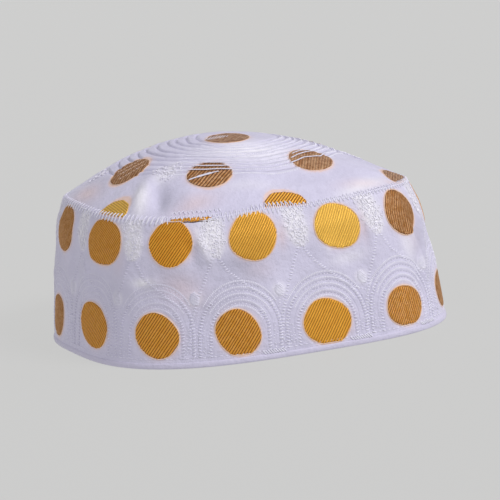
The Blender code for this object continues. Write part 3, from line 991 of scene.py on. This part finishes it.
def build_crown(material):
    angles = 2*np.pi*np.arange(CROWN_COLUMNS)/CROWN_COLUMNS
    circle = round_middle(ring_radius(RING_COUNT - 1, angles) + 1.5, angles)
    runs, _ = crown_place(*circle.T)
    rim = seam_plan(runs)
    plans = [MEDALLION_MIDDLE + (circle - MEDALLION_MIDDLE)*t
             for t in np.linspace(0, 1, MEDALLION_ROWS + 1)[1:]]
    plans += [circle + (rim - circle)*t for t in np.linspace(0, 1, OUTER_ROWS + 1)[1:]]
    plan = np.array(plans)
    outer = crown(plan[..., 0], plan[..., 1])
    way = outward(runs, np.full(CROWN_COLUMNS, SEAM_HEIGHT))
    bend = outer[-1] + 0.20*way - [0, 0, 0.35]
    lip = outer[-1] + 0.12*way - [0, 0, CROWN_LIP + SEAM_GAP]
    under = []
    for share in np.linspace(0.985, 0.04, CROWN_INNER_ROWS):
        x, y = (MEDALLION_MIDDLE + (rim - MEDALLION_MIDDLE)*share).T
        under.append(np.stack([x, y, crown_height(x, y)], -1) - CLOTH_THICK*crown_normal(x, y))
    top_pole = crown(*MEDALLION_MIDDLE[:, None])
    face_points = outer.reshape(-1, 3)
    points = np.concatenate([face_points, bend, lip, lip - 1.2*way, *under])
    rows, count = len(points)//CROWN_COLUMNS, len(points)
    columns = np.arange(CROWN_COLUMNS)
    following, pole = (columns + 1) % CROWN_COLUMNS, np.full(CROWN_COLUMNS, count)
    low = count - CROWN_COLUMNS
    faces = [grid_quads(rows, CROWN_COLUMNS, around=True)[:, ::-1],
             np.stack([columns, following, pole], -1),
             np.stack([low + following, low + columns, pole + 1], -1)]
    points = np.concatenate([points, top_pole, top_pole - [0, 0, CLOTH_THICK]])
    x, y = points[:, 0], points[:, 1]
    r, lines, leftward = medallion_lines(x, y)
    # Painted highlights and patches of painted shade on the crown
    values = {"halo": crown_halo(x, y), "shine": mounds(x, y, CROWN_SHINE).max(-1),
              "painted_shade": mounds(x, y, CROWN_PAINTED_SHADE).max(-1),
              # The grooves' painted shade is weaker to the left, where the relief shades them
              "rings": ring_number(r, lines, 3.0), "sewn": 0.8 - 0.3*leftward}
    values["sewn"][len(face_points):] = 0
    values["halo"][len(face_points):] *= 0.2
    return make_piece("crown_cloth", points, faces, material, points[:, :2], values)


# Section of the hem: way out from the plain wall and height
HEM_SECTION = np.array([
    (-2, 0.55), (-1.5, 0), (-0.5, 0), (-0.05, 0.25), (0.12, 0.8), (0.16, 1.5), (0.10, 2.1),
    (-0.08, 2.55), (-0.4, 2.8), (-1.2, 2.6), (-2, 2.1)])
HEM_COLUMNS = 720
PUCKER_DEPTH = 0.09
PUCKER_PITCH = 2.6
HEM_HEIGHT = 2.6


def build_hem(material):
    run, height = np.meshgrid(even_runs(HEM_COLUMNS), HEM_SECTION[:, 1])
    out = HEM_SECTION[:, :1]
    pucker = PUCKER_DEPTH*np.sin(run*2*np.pi/PUCKER_PITCH)*np.sin(np.pi*np.minimum(1, height/HEM_HEIGHT))
    points = plain_wall(run, height) + (out + pucker*(out > 0))[..., None]*outward(run, height)
    return make_band("hem_fold", run, height, points, material, {"halo": np.zeros(height.size)})


# Golden spots

RIB_PITCH = 1.17
RIB_ANGLE = 56.0
# Across one rib: share of the pitch, height, share of the dark ground that shows
RIB_PROFILE = [(0, 0, 1), (0.17, 0.12, 0.45), (0.38, 0.24, 0), (0.62, 0.25, 0), (0.83, 0.13, 0.45)]
RIB_WANDER = 0.05
RIB_RAGGED = 0.35
RIB_STEPS = 18
RIB_TAPER = 0.7
SPOT_LIFT = 0.12
SPOT_SINK = -0.25
SPOT_REACH = 15.0
SPOT_POWER = 2.25
SPOT_RIM = 1.015
# How much darker painted shade makes the gold of a wall spot, at its fullest
WALL_SPOT_PAINTED_SHADE = 0.42


def ribbed_patch(ribs, inside, place, angle, rng, dull, contrast=0.9, pitch=RIB_PITCH, shade=0.0):
    """Lays a ribbed patch. inside gives a number under 1 within its outline, in places from its middle."""
    a = math.radians(angle)
    along, across = np.array([math.cos(a), math.sin(a)]), np.array([-math.sin(a), math.cos(a)])
    count = int(SPOT_REACH/pitch)
    offset, high, dark = np.array([((k + share)*pitch, high, dark) for k in range(-count, count)
                                   for share, high, dark in RIB_PROFILE]).T
    knots = np.arange(0, len(offset), 5)
    offset = offset + np.interp(np.arange(len(offset)), knots, rng.normal(0, RIB_WANDER, len(knots)))
    t = np.linspace(-SPOT_REACH, SPOT_REACH, 181)
    places = offset[:, None, None]*across + t[:, None]*along
    value = inside(places[..., 0], places[..., 1])
    edges, kept = [], []
    for row, line in enumerate(value):
        found = np.flatnonzero(line < 1)
        if len(found) < 3 or found[0] == 0 or found[-1] == len(t) - 1:
            continue
        ends = ([found[0], found[0] - 1], [found[-1], found[-1] + 1])
        edges.append([np.interp(1, line[pair], t[pair]) for pair in ends])
        kept.append(row)
    starts, ends = np.array(edges).T
    kept = np.array(kept)
    rib = kept//len(RIB_PROFILE)
    starts = starts - rng.uniform(-0.5, 1, 2*count)[rib]*RIB_RAGGED
    ends = ends + rng.uniform(-0.5, 1, 2*count)[rib]*RIB_RAGGED
    share = 0.5 - 0.5*np.cos(np.pi*np.linspace(0, 1, RIB_STEPS))
    reach = starts[:, None] + (ends - starts)[:, None]*share
    places = offset[kept][:, None, None]*across + reach[..., None]*along
    end_gap = np.minimum(reach - starts[:, None], ends[:, None] - reach)
    taper = np.sqrt(limited(end_gap/RIB_TAPER))
    lift = np.where(end_gap < 0.02, SPOT_SINK, SPOT_LIFT + high[kept][:, None]*taper)
    lift[[0, -1]] = SPOT_SINK
    dark_share = limited(dark[kept][:, None] + 0.55*(1 - taper))*contrast*(1 - 0.45*max(-dull, 0))
    points = place(places[..., 0], places[..., 1], lift)
    # The valley values hold the dark ground between the ribs and the spot's painted shade
    ribs.add(points, grid_quads(len(kept), RIB_STEPS)[:, ::-1], places + rng.uniform(-40, 40, 2),
             valley=shade + dark_share, dull=max(dull, 0), pale=max(-dull, 0))


def spot_outline(long_half, short_half, tilt, cut_low, cut_high):
    """Outline of a wall spot as a function that is under 1 inside."""
    def inside(x, y):
        along, across = turned(x, y, tilt)
        size = (np.abs(along/long_half)**SPOT_POWER + np.abs(across/short_half)**SPOT_POWER)**(1/SPOT_POWER)
        cut = 1 + np.maximum(cut_low - y, y - cut_high)/short_half
        return np.maximum(size, cut)

    return inside


def lay_rim(rims, place, inside, width, thick, rng):
    """A thread round the outline, whose own points are found along rays from the middle."""
    angles = np.linspace(0, 2*np.pi, 73)
    ways = np.stack([np.cos(angles), np.sin(angles)], -1)
    r = np.linspace(0.5, SPOT_REACH, 400)
    value = inside(*(ways[:, None]*r[:, None]).transpose(2, 0, 1))
    radius = r[np.argmax(value >= 1, axis=1)]
    rims.lay(place, (radius[:, None]*ways)[None]*SPOT_RIM, 0.06, width, thick, rng, blunt=1)


def build_wall_spots(name, spots, material, rims, rng):
    ribs = Gathered()
    for middle, up, long_half, short_half, tilt, foot, dull in spots:
        def place(x, y, out, middle=middle, up=up):
            return wall(middle + x, up + y, out)
        inside = spot_outline(long_half, short_half, tilt, foot - up if foot else -30.0,
                              SEAM_HEIGHT - 0.6 - up)
        ribbed_patch(ribs, inside, place, RIB_ANGLE + rng.normal(0, 2.0), rng, dull, 0.95,
                     shade=WALL_SPOT_PAINTED_SHADE*max(dull, 0))
        lay_rim(rims, place, inside, 0.6, 0.4, rng)
    return ribs.piece(name, material, "gold_brocade")


# Share of the way out to the seam that the crown's spots reach, and at which they lie flat
CROWN_SPOT_SHARE = 0.992
CROWN_SPOT_LEVEL = 0.97
# Cords that show faintly on one spot
FAINT_CORDS = [
    [(-61, -4.5), (-56.6, -6.9), (-49.9, -8.8)], [(-60, 0.5), (-54, -3), (-47.3, -5)],
    [(-58, 4.5), (-53, 1), (-47, -0.5)]]


def build_crown_spots(name, material, rims, rng):
    ribs = Gathered()
    for spot_x, spot_y, dull, rib_heading, contrast, pitch in CROWN_SPOTS:
        middle = np.array([spot_x, spot_y])
        run, share = crown_place(middle[:1], middle[1:])
        if share[0] > CROWN_SPOT_LEVEL:
            middle = seam_plan(run, np.array([CROWN_SPOT_LEVEL]))[0]
        normal = crown_normal(middle[:1], middle[1:])[0]
        t_x = unit(np.array([1, 0, 0]) - normal[0]*normal)
        t_y = np.cross(normal, t_x)

        def plan(x, y, spot_x=spot_x, spot_y=spot_y, t_x=t_x, t_y=t_y):
            return spot_x + x*t_x[0] + y*t_y[0], spot_y + x*t_x[1] + y*t_y[1]

        def place(x, y, out, plan=plan):
            return crown(*plan(x, y), out)

        def inside(x, y, plan=plan):
            _, share = crown_place(*plan(x, y))
            return np.maximum(np.hypot(x, y)/CROWN_SPOT_RADIUS, 1 + (share - CROWN_SPOT_SHARE)*8)

        ribbed_patch(ribs, inside, place, rib_heading, rng, dull, contrast, pitch)
        if inside(np.zeros(1), np.zeros(1))[0] < 1:
            lay_rim(rims, place, inside, 0.5, 0.3, rng)
    for cord in FAINT_CORDS:
        add_rope(rims, crown, np.array(cord), rng, pitch=1.3, length=1.2, slant=12, lift=0.34,
                 width=0.55, thick=0.3)
    return ribs.piece(name, material, "gold_brocade")


# Embroidery of the wall

BAR_SLOPE = -18.0
CURL_STEPS = 7
CURL_SWEEP = (3.4, 5.2)
# Satin bands between the arch lines: half width beside the spot, height above its middle
ARCH_BANDS = [(11.7, 12.2), (14, 14.8), (16.5, 17.7), (18.7, 20.6), (20.4, 23.3)]
LEG_STEEPNESS = 0.86
# Half width and height of the arch lines whose legs are ladders, and how far up the ladders go
LADDERS = [(13.3, 13.6), (18.5, 20.0)]
LADDER_STEEPNESS = 0.74


def arch_path(index, half_width, tall, steepness):
    """One arch round a lower spot, in even steps, and where its left leg ends and its right starts."""
    middle, up = LOWER[index, :2]
    a = np.linspace(np.pi, 0, 160)
    c = np.cos(a)
    half_gap = np.where(c > 0, LOWER_GAPS[index], LOWER_GAPS[index - 1])/2
    arch = np.stack([middle + half_width*c*half_gap/ARCH_HALF_GAP, up + tall*np.sin(a)], -1)
    feet = [[(x, ARCH_FOOT)] for x in arch[[0, -1], 0]]
    path, heading = resample(np.concatenate([feet[0], arch, feet[1]]), 0.5)
    leg = np.flatnonzero(np.abs(np.sin(heading)) > steepness)
    split = np.flatnonzero(np.diff(leg) > 1)[0]
    return path, leg[split], leg[split + 1]


def add_bars(threads, path, rng, pitch=1.42, length=1.9, slope=BAR_SLOPE, lift=0.14, width=0.60, thick=0.42):
    """Rungs along a path. They keep nearly level, so they read as a line where the path is level."""
    middles, _ = resample(path, pitch)
    headings = np.radians(slope + rng.normal(0, 6, len(middles)))
    lengths = length*rng.uniform(0.88, 1.12, len(middles))
    middles = middles + rng.normal(0, 0.08, middles.shape)
    threads.lay(wall, bars(middles, headings, lengths), lift + 0.14*DIVE, width, thick, rng)


def add_rope(threads, place, path, rng, pitch, length, slant, lift, width, thick):
    """A cord of short stitches laid close together, each slanting across the path."""
    middles, headings = resample(path, pitch)
    headings = headings + math.radians(slant) + rng.normal(0, 0.05, len(headings))
    threads.lay(place, bars(middles, headings, length, 3), lift + 0.12*SHORT_DIVE, width, thick, rng)


def build_arches(material, rng):
    """Low satin bands over the top of each arch."""
    threads = Gathered()
    for index in range(SPOTS_ROUND):
        for half_width, tall in ARCH_BANDS:
            path, first, last = arch_path(index, half_width, tall, LEG_STEEPNESS)
            add_rope(threads, wall, path[first:last + 1], rng, pitch=0.85, length=1.9, slant=58,
                     lift=-0.04, width=0.80, thick=0.22)
    return threads.piece("arch_stitches", material)


def build_ladders(material, rng):
    """Ladders of slanted rungs down the legs of the arches, and dashes over their tops."""
    threads = Gathered()
    for index in range(SPOTS_ROUND):
        for half_width, tall in LADDERS:
            path, first, last = arch_path(index, half_width, tall, LADDER_STEEPNESS)
            add_bars(threads, path[:first + 1], rng)
            add_bars(threads, path[last:], rng, slope=-BAR_SLOPE)
        for half_width, tall in ARCHES:
            path, first, last = arch_path(index, half_width, tall, LADDER_STEEPNESS)
            add_rope(threads, wall, path[first:last + 1], rng, pitch=1.75, length=1.2, slant=6,
                     lift=0.04, width=0.45, thick=0.28)
    return threads.piece("ladder_stitches", material)


# Lines of rungs that hang from each tongue, with their slope: run from the tongue's line, height
HANGING_LINES = (
    (np.array([(2.2, 57), (0.2, 49), (-2.2, 43), (-4.2, 38), (-6.7, 32.5), (-8.2, 27), (-10.2, 20),
               (-11.2, 9)]), -12.0),
    (np.array([(3.2, 48), (7.2, 42), (11.5, 38.5), (16, 34.5), (20.5, 31), (26.5, 27)]), 14.0),
)
BULB_STITCHES = 9
BULB_SIZE = 5.8
BULB_HEADING = math.radians(15)
BULB_DIVE = np.array([-1.5, 0.8, 1, 0.8, -1.5])
VALLEY_HALF = 7.5
VALLEY_NARROWING = 0.22


def in_valley(place):
    """Ground of a valley between two arches, by run from its middle and by height."""
    return abs(place[0]) < VALLEY_HALF - VALLEY_NARROWING*place[1]


def build_fillings(material, rng):
    """Rungs below the tongues, bulbs of satin stitch, and short stitches strewn in the valleys."""
    threads = Gathered()
    t = np.linspace(-1, 1, BULB_STITCHES)
    fan = np.stack([-np.sin(BULB_HEADING)*t, np.cos(BULB_HEADING)*t], -1)*0.45*BULB_SIZE
    for index in range(SPOTS_ROUND):
        for line, slope in HANGING_LINES:
            add_bars(threads, line + [TONGUES[index], 0], rng, pitch=1.45, length=2.0, slope=slope,
                     lift=0.06, width=0.55, thick=0.36)
        valley = VALLEYS[index]
        stitches = bars([valley + BULB_SHIFT, BULB_HEIGHT] + fan, BULB_HEADING + 0.22*t,
                        BULB_SIZE*(1 - 0.45*t**2), 5)
        threads.lay(wall, stitches, 0.04 + 0.12*BULB_DIVE, 0.7, 0.24, rng)
        places = scattered(rng, (-VALLEY_HALF, 5.4), (VALLEY_HALF, 30), in_valley, 1.25, 700) + [valley, 0]
        threads.lay(wall, bars(places, rng.uniform(-0.7, 0.7, len(places)), 0.9), 0.05, 0.46, 0.30, rng)
    return threads.piece("valley_stitches", material)


def in_tongue(place):
    return tongue_margin(*place) > -0.9


def build_tongues(material, rng):
    """Curly stitches, thinned towards the edges of each tongue."""
    threads = Gathered()
    for index in range(SPOTS_ROUND):
        places = scattered(rng, (-9, TONGUE_TIP), (9, SEAM_HEIGHT), in_tongue, 1.02, 900)
        gap, _ = spot_distance(places[:, 0] + TONGUES[index], places[:, 1], UPPER)
        thinned = tongue_margin(*places.T) > rng.uniform(-0.9, 1.4, len(places))
        places = places[(gap > 0.9) & thinned] + [TONGUES[index], 0]
        lay_curls(threads, wall, places, (0.42, 0.72), (0.08, 0.30), 0.50, 0.22, rng)
    return threads.piece("moss_stitches", material)


HEM_LINE = 4.5
HEM_STITCH_PITCH = 2.4
# Satin stitches beside the hem: count, pitch, height, heading, length
HEM_SATIN = (9, 1.15, 3.6, math.radians(-48), 2.7)


def build_hem_stitches(material, rng):
    """Running stitches that hold the turned-up edge, with slanted satin stitches along part of it."""
    threads = Gathered()
    count = int(GIRTH/HEM_STITCH_PITCH)
    middles = np.stack([even_runs(count), np.full(count, HEM_LINE)], -1)
    threads.lay(wall, bars(middles, 0.0, 1.5), 0.06, 0.5, 0.4, rng)
    satin, pitch, height, heading, length = HEM_SATIN
    for valley in VALLEYS[stitch_fade(VALLEYS) < 0.4]:
        places = np.stack([valley - 9.5 + pitch*np.arange(satin), np.full(satin, height)], -1)
        threads.lay(wall, bars(places, heading, length), 0.16, 0.75, 0.4, rng)
    return threads.piece("hem_stitches", material)


# Seam and crown embroidery

SEAM_PITCH = 2.3
SEAM_REACH_DOWN = 2.1
SEAM_REACH_UP = 2.3
# Pitch and width of the slanted bars at the two ends of their part
SLANT_PITCHES = (3.7, 2.5)
SLANT_WIDTHS = (1.55, 1.0)
# Part of the seam, by run, that is sewn with slanted bars alone, and part that gapes a little
SLANTED_SEAM = (205.0, 338.0)
SEAM_GAPE = (345.0, 368.5)
GAPE_HEIGHT = 66.0
SECOND_ROW = (2.9, 5.0)
# Run, half width and upper reach of the taller zigzag under the front spot of the crown
UNDER_SPOT = (396.0, 12.5, 3.3)
FLUSH_SEAM = 405.0
FLUSH_SHARE = 0.6
CROWN_SHARE_PER_MM = 1/96


def seam_crown(run, up):
    return seam_plan(run, 1 - np.maximum(up, 0)*CROWN_SHARE_PER_MM)


def over_seam(run, up, out):
    """Places across the seam: below it on the wall, above it on the crown."""
    below = wall(run, SEAM_HEIGHT + np.minimum(up, 0), out)
    flat = seam_crown(run, up)
    return np.where((up > 0.01)[..., None], crown(flat[..., 0], flat[..., 1], out), below)


def over_gold(x, y):
    """How much higher a cord lies where it crosses a golden spot of the crown."""
    return 0.75*limited((0.3 - spot_gap(x, y))/0.8)


def seam_stitches(threads, run, low, high, lean, rng, width=0.5, thick=0.32, lift=0.06):
    """Stitches across the seam from low to high, each leaning by lean along it."""
    t = np.linspace(0, 1, 6)
    low, high = (np.broadcast_to(level, run.shape)[:, None] for level in (low, high))
    x = run[:, None] + lean*t + rng.normal(0, 0.08, (len(run), 1))
    y = low + (high - low)*t + rng.normal(0, 0.12, (len(run), 1))
    flat = seam_crown(x, y)
    raised = over_gold(flat[..., 0], flat[..., 1])*(y > 0.3)
    out = lift + 0.18*np.sin(np.pi*t) + 0.5*raised
    threads.lay(over_seam, np.stack([x, y], -1), out, width, thick, rng)


def zigzag(threads, run, low, high, half, rng, *size):
    seam_stitches(threads, run, low, high, half, rng, *size)
    seam_stitches(threads, run + half, high, low, half, rng, *size)


def build_seam(material, rng):
    """Zigzag stitches over the seam, slanted bars over part of it, and a second row where it gapes."""
    threads = Gathered()
    count = int(GIRTH/SEAM_PITCH)
    half = GIRTH/count/2
    run = even_runs(count)
    run = run[(run < SLANTED_SEAM[0]) | (run > SLANTED_SEAM[1])]
    gaping = (run > SEAM_GAPE[0] - 3) & (run < SEAM_GAPE[1])
    share = np.where(run > FLUSH_SEAM, FLUSH_SHARE, 1)
    low = np.where(gaping, -0.3, -SEAM_REACH_DOWN)*share
    under_spot = np.abs(run - UNDER_SPOT[0]) < UNDER_SPOT[1]
    zigzag(threads, run, low, np.where(under_spot, UNDER_SPOT[2], SEAM_REACH_UP*share), half, rng)
    slanted = [SLANTED_SEAM[0]]
    while slanted[-1] < SLANTED_SEAM[1]:
        slanted.append(slanted[-1] + np.interp(slanted[-1], SLANTED_SEAM, SLANT_PITCHES))
    slanted = np.array(slanted)
    width = np.interp(slanted, SLANTED_SEAM, SLANT_WIDTHS)
    seam_stitches(threads, slanted, -SEAM_REACH_DOWN, SEAM_REACH_UP, 1.6, rng, width, 0.42, 0.1)
    zigzag(threads, np.arange(*SEAM_GAPE, SEAM_PITCH), *SECOND_ROW, half, rng, 0.45, 0.3)
    return threads.piece("seam_stitches", material)


def build_gape(gold, shadow, rng):
    """The short gape in the seam: a sliver of gold above a dark strip, painted as the shadow in the slit."""
    middle, half = sum(SEAM_GAPE)/2 - 1.5, (SEAM_GAPE[1] - SEAM_GAPE[0])/2 - 1

    def inside(x, y):
        return np.hypot(x/half, y/0.75)

    def place(x, y, out):
        return over_seam(middle + x, y + 0.1, out)

    ribs, slit = Gathered(), Gathered()
    ribbed_patch(ribs, inside, place, RIB_ANGLE, rng, 0.0)
    run = np.linspace(*SEAM_GAPE, 30)
    path = np.stack([run, GAPE_HEIGHT + 0.15*np.sin(run)], -1)[None]
    slit.lay(wall, path, 0.05, 0.62, 0.14, None, blunt=0.1)
    return ribs.piece("seam_sliver", gold, "gold_brocade"), slit.piece("seam_slit_shadow", shadow, "crown_cloth")


# Cords that run on over single spots: plan places along each, and the width
SPOT_CORDS = [
    ([(-43, -44), (-40, -44.3), (-38, -44.7)], 0.9),
    ([(-39, -44.5), (-36.9, -44.9), (-33.5, -45.5)], 1.7),
    ([(-34.5, -45.3), (-30.2, -46.2)], 0.8),
    ([(5.6, -51.5), (9, -50.5), (13.5, -48.7), (18, -48.6), (22.2, -48.2), (27.2, -44.1)], 0.75),
    ([(7.8, -47.6), (12, -45.6), (17, -43.6), (21, -42.6)], 0.65),
    ([(10.5, -43.8), (15, -42), (20, -41.3)], 0.55),
]
# The spot of the crown that the medallion's stitches leave bare
BARE_SPOT = np.array([16.3, -49.9])
# Curly patches on the rim of the medallion: x, y, radius
CROWN_MOSS = [
    (-47, -28.5, 7.5), (54, -22, 6), (49, 24, 6), (-38, 45, 7), (12, 52, 6), (-60, 22, 6)]
# Parallel white stitches over the left part of the middle spot
HATCH_START = np.array([-16.4, -7.2])
HATCH_STEP = np.array([1.26, -0.60])
HATCH_LENGTHS = np.array([5.0, 7.0, 8.2, 8.8, 8.4, 7.2, 5.4, 3.4])
HATCH_HEADING = math.radians(48)


def build_medallion(material, rng):
    """Low bands of slanted satin stitches between the crown's rings."""
    threads = Gathered()
    angles = np.linspace(0, 2*np.pi, 721)
    for k in range(RING_COUNT):
        middles, headings = resample(round_middle(ring_radius(k + 0.5, angles), angles), 0.95)
        leftward = medallion_lines(*middles.T)[2]
        raised = over_gold(*middles.T)
        over = raised > 0.2
        bare = np.hypot(*(middles - BARE_SPOT).T) < CROWN_SPOT_RADIUS + 0.3
        shown = (leftward < 0.55) & ~(over & (k == RING_COUNT - 1)) & ~bare
        middles, headings, raised, over = middles[shown], headings[shown], raised[shown], over[shown]
        headings = headings + np.radians(np.where(over, 22.0, 38.0)) + rng.normal(0, 0.05, len(headings))
        out = 0.02 + 0.12*DIVE + raised[:, None]
        threads.lay(crown, bars(middles, headings, np.where(over, 1.6, 2.1)), out, 0.75, 0.26, rng)
    for cord, width in SPOT_CORDS:
        add_rope(threads, crown, np.array(cord), rng, pitch=0.6, length=1.7, slant=5, lift=0.56,
                 width=width, thick=0.36)
    return threads.piece("medallion_stitches", material)


def build_crown_moss(material, rng):
    threads = Gathered()
    for x, y, radius in CROWN_MOSS:
        def inside(place, radius=radius):
            angle = math.atan2(place[1], place[0])
            return math.hypot(*place) < radius*(0.78 + 0.22*math.sin(3*angle + radius))
        places = scattered(rng, (-radius, -radius), (radius, radius), inside, 1.15, 420) + [x, y]
        places = places[spot_gap(*places.T) > 0.6]
        lay_curls(threads, crown, places, (0.5, 0.9), (0.1, 0.3), 0.46, 0.32, rng)
    places = HATCH_START + np.arange(len(HATCH_LENGTHS))[:, None]*HATCH_STEP
    threads.lay(crown, bars(places, HATCH_HEADING, HATCH_LENGTHS), 0.36, 0.5, 0.25, rng)
    return threads.piece("crown_moss", material)


def build_cap():
    cloth = cloth_material("satin_cotton")
    # A darker copy of the cotton: painted shade on the hem
    folded = cloth_material("hem_cotton", False, HEM_SHADED_WHITE)
    white = thread_material("white_embroidery_thread", THREAD_WHITE, THREAD_GREY)
    # The curls' thread is a lighter copy of the white one: a painted highlight
    bright = thread_material("painted_highlight_thread", THREAD_PAINTED_HIGHLIGHT, THREAD_PEARL)
    gold = gold_material("golden_twill")
    cream = thread_material("cream_edge_thread", CREAM, THREAD_WHITE, 0.5)
    shadow = thread_material("slit_shadow", SLIT_DARK, SLIT_BROWN, 0.9)
    wall_piece = build_wall(cloth)
    crown_piece = build_crown(cloth)
    hem_piece = build_hem(folded)
    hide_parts("side_band")
    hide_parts("crown")
    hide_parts("hem")
    rims, crown_rims = Gathered(), Gathered()
    rng = np.random.default_rng(14)
    upper = build_wall_spots("upper_spots", UPPER, gold, rims, rng)
    lower = build_wall_spots("lower_spots", LOWER, gold, rims, rng)
    top = build_crown_spots("crown_spots", gold, crown_rims, rng)
    wall_edges = rims.piece("wall_spot_edges", cream, "gold_brocade")
    crown_edges = crown_rims.piece("crown_spot_edges", cream, "gold_brocade")
    on_wall = [upper, lower, wall_edges, hem_piece, build_arches(white, rng), build_ladders(white, rng),
               build_fillings(white, rng), build_tongues(bright, rng), build_hem_stitches(white, rng)]
    on_crown = [top, crown_edges, build_seam(white, rng), *build_gape(gold, shadow, rng),
                build_medallion(white, rng), build_crown_moss(bright, rng)]


place_camera()
place_stage()
build_cap()
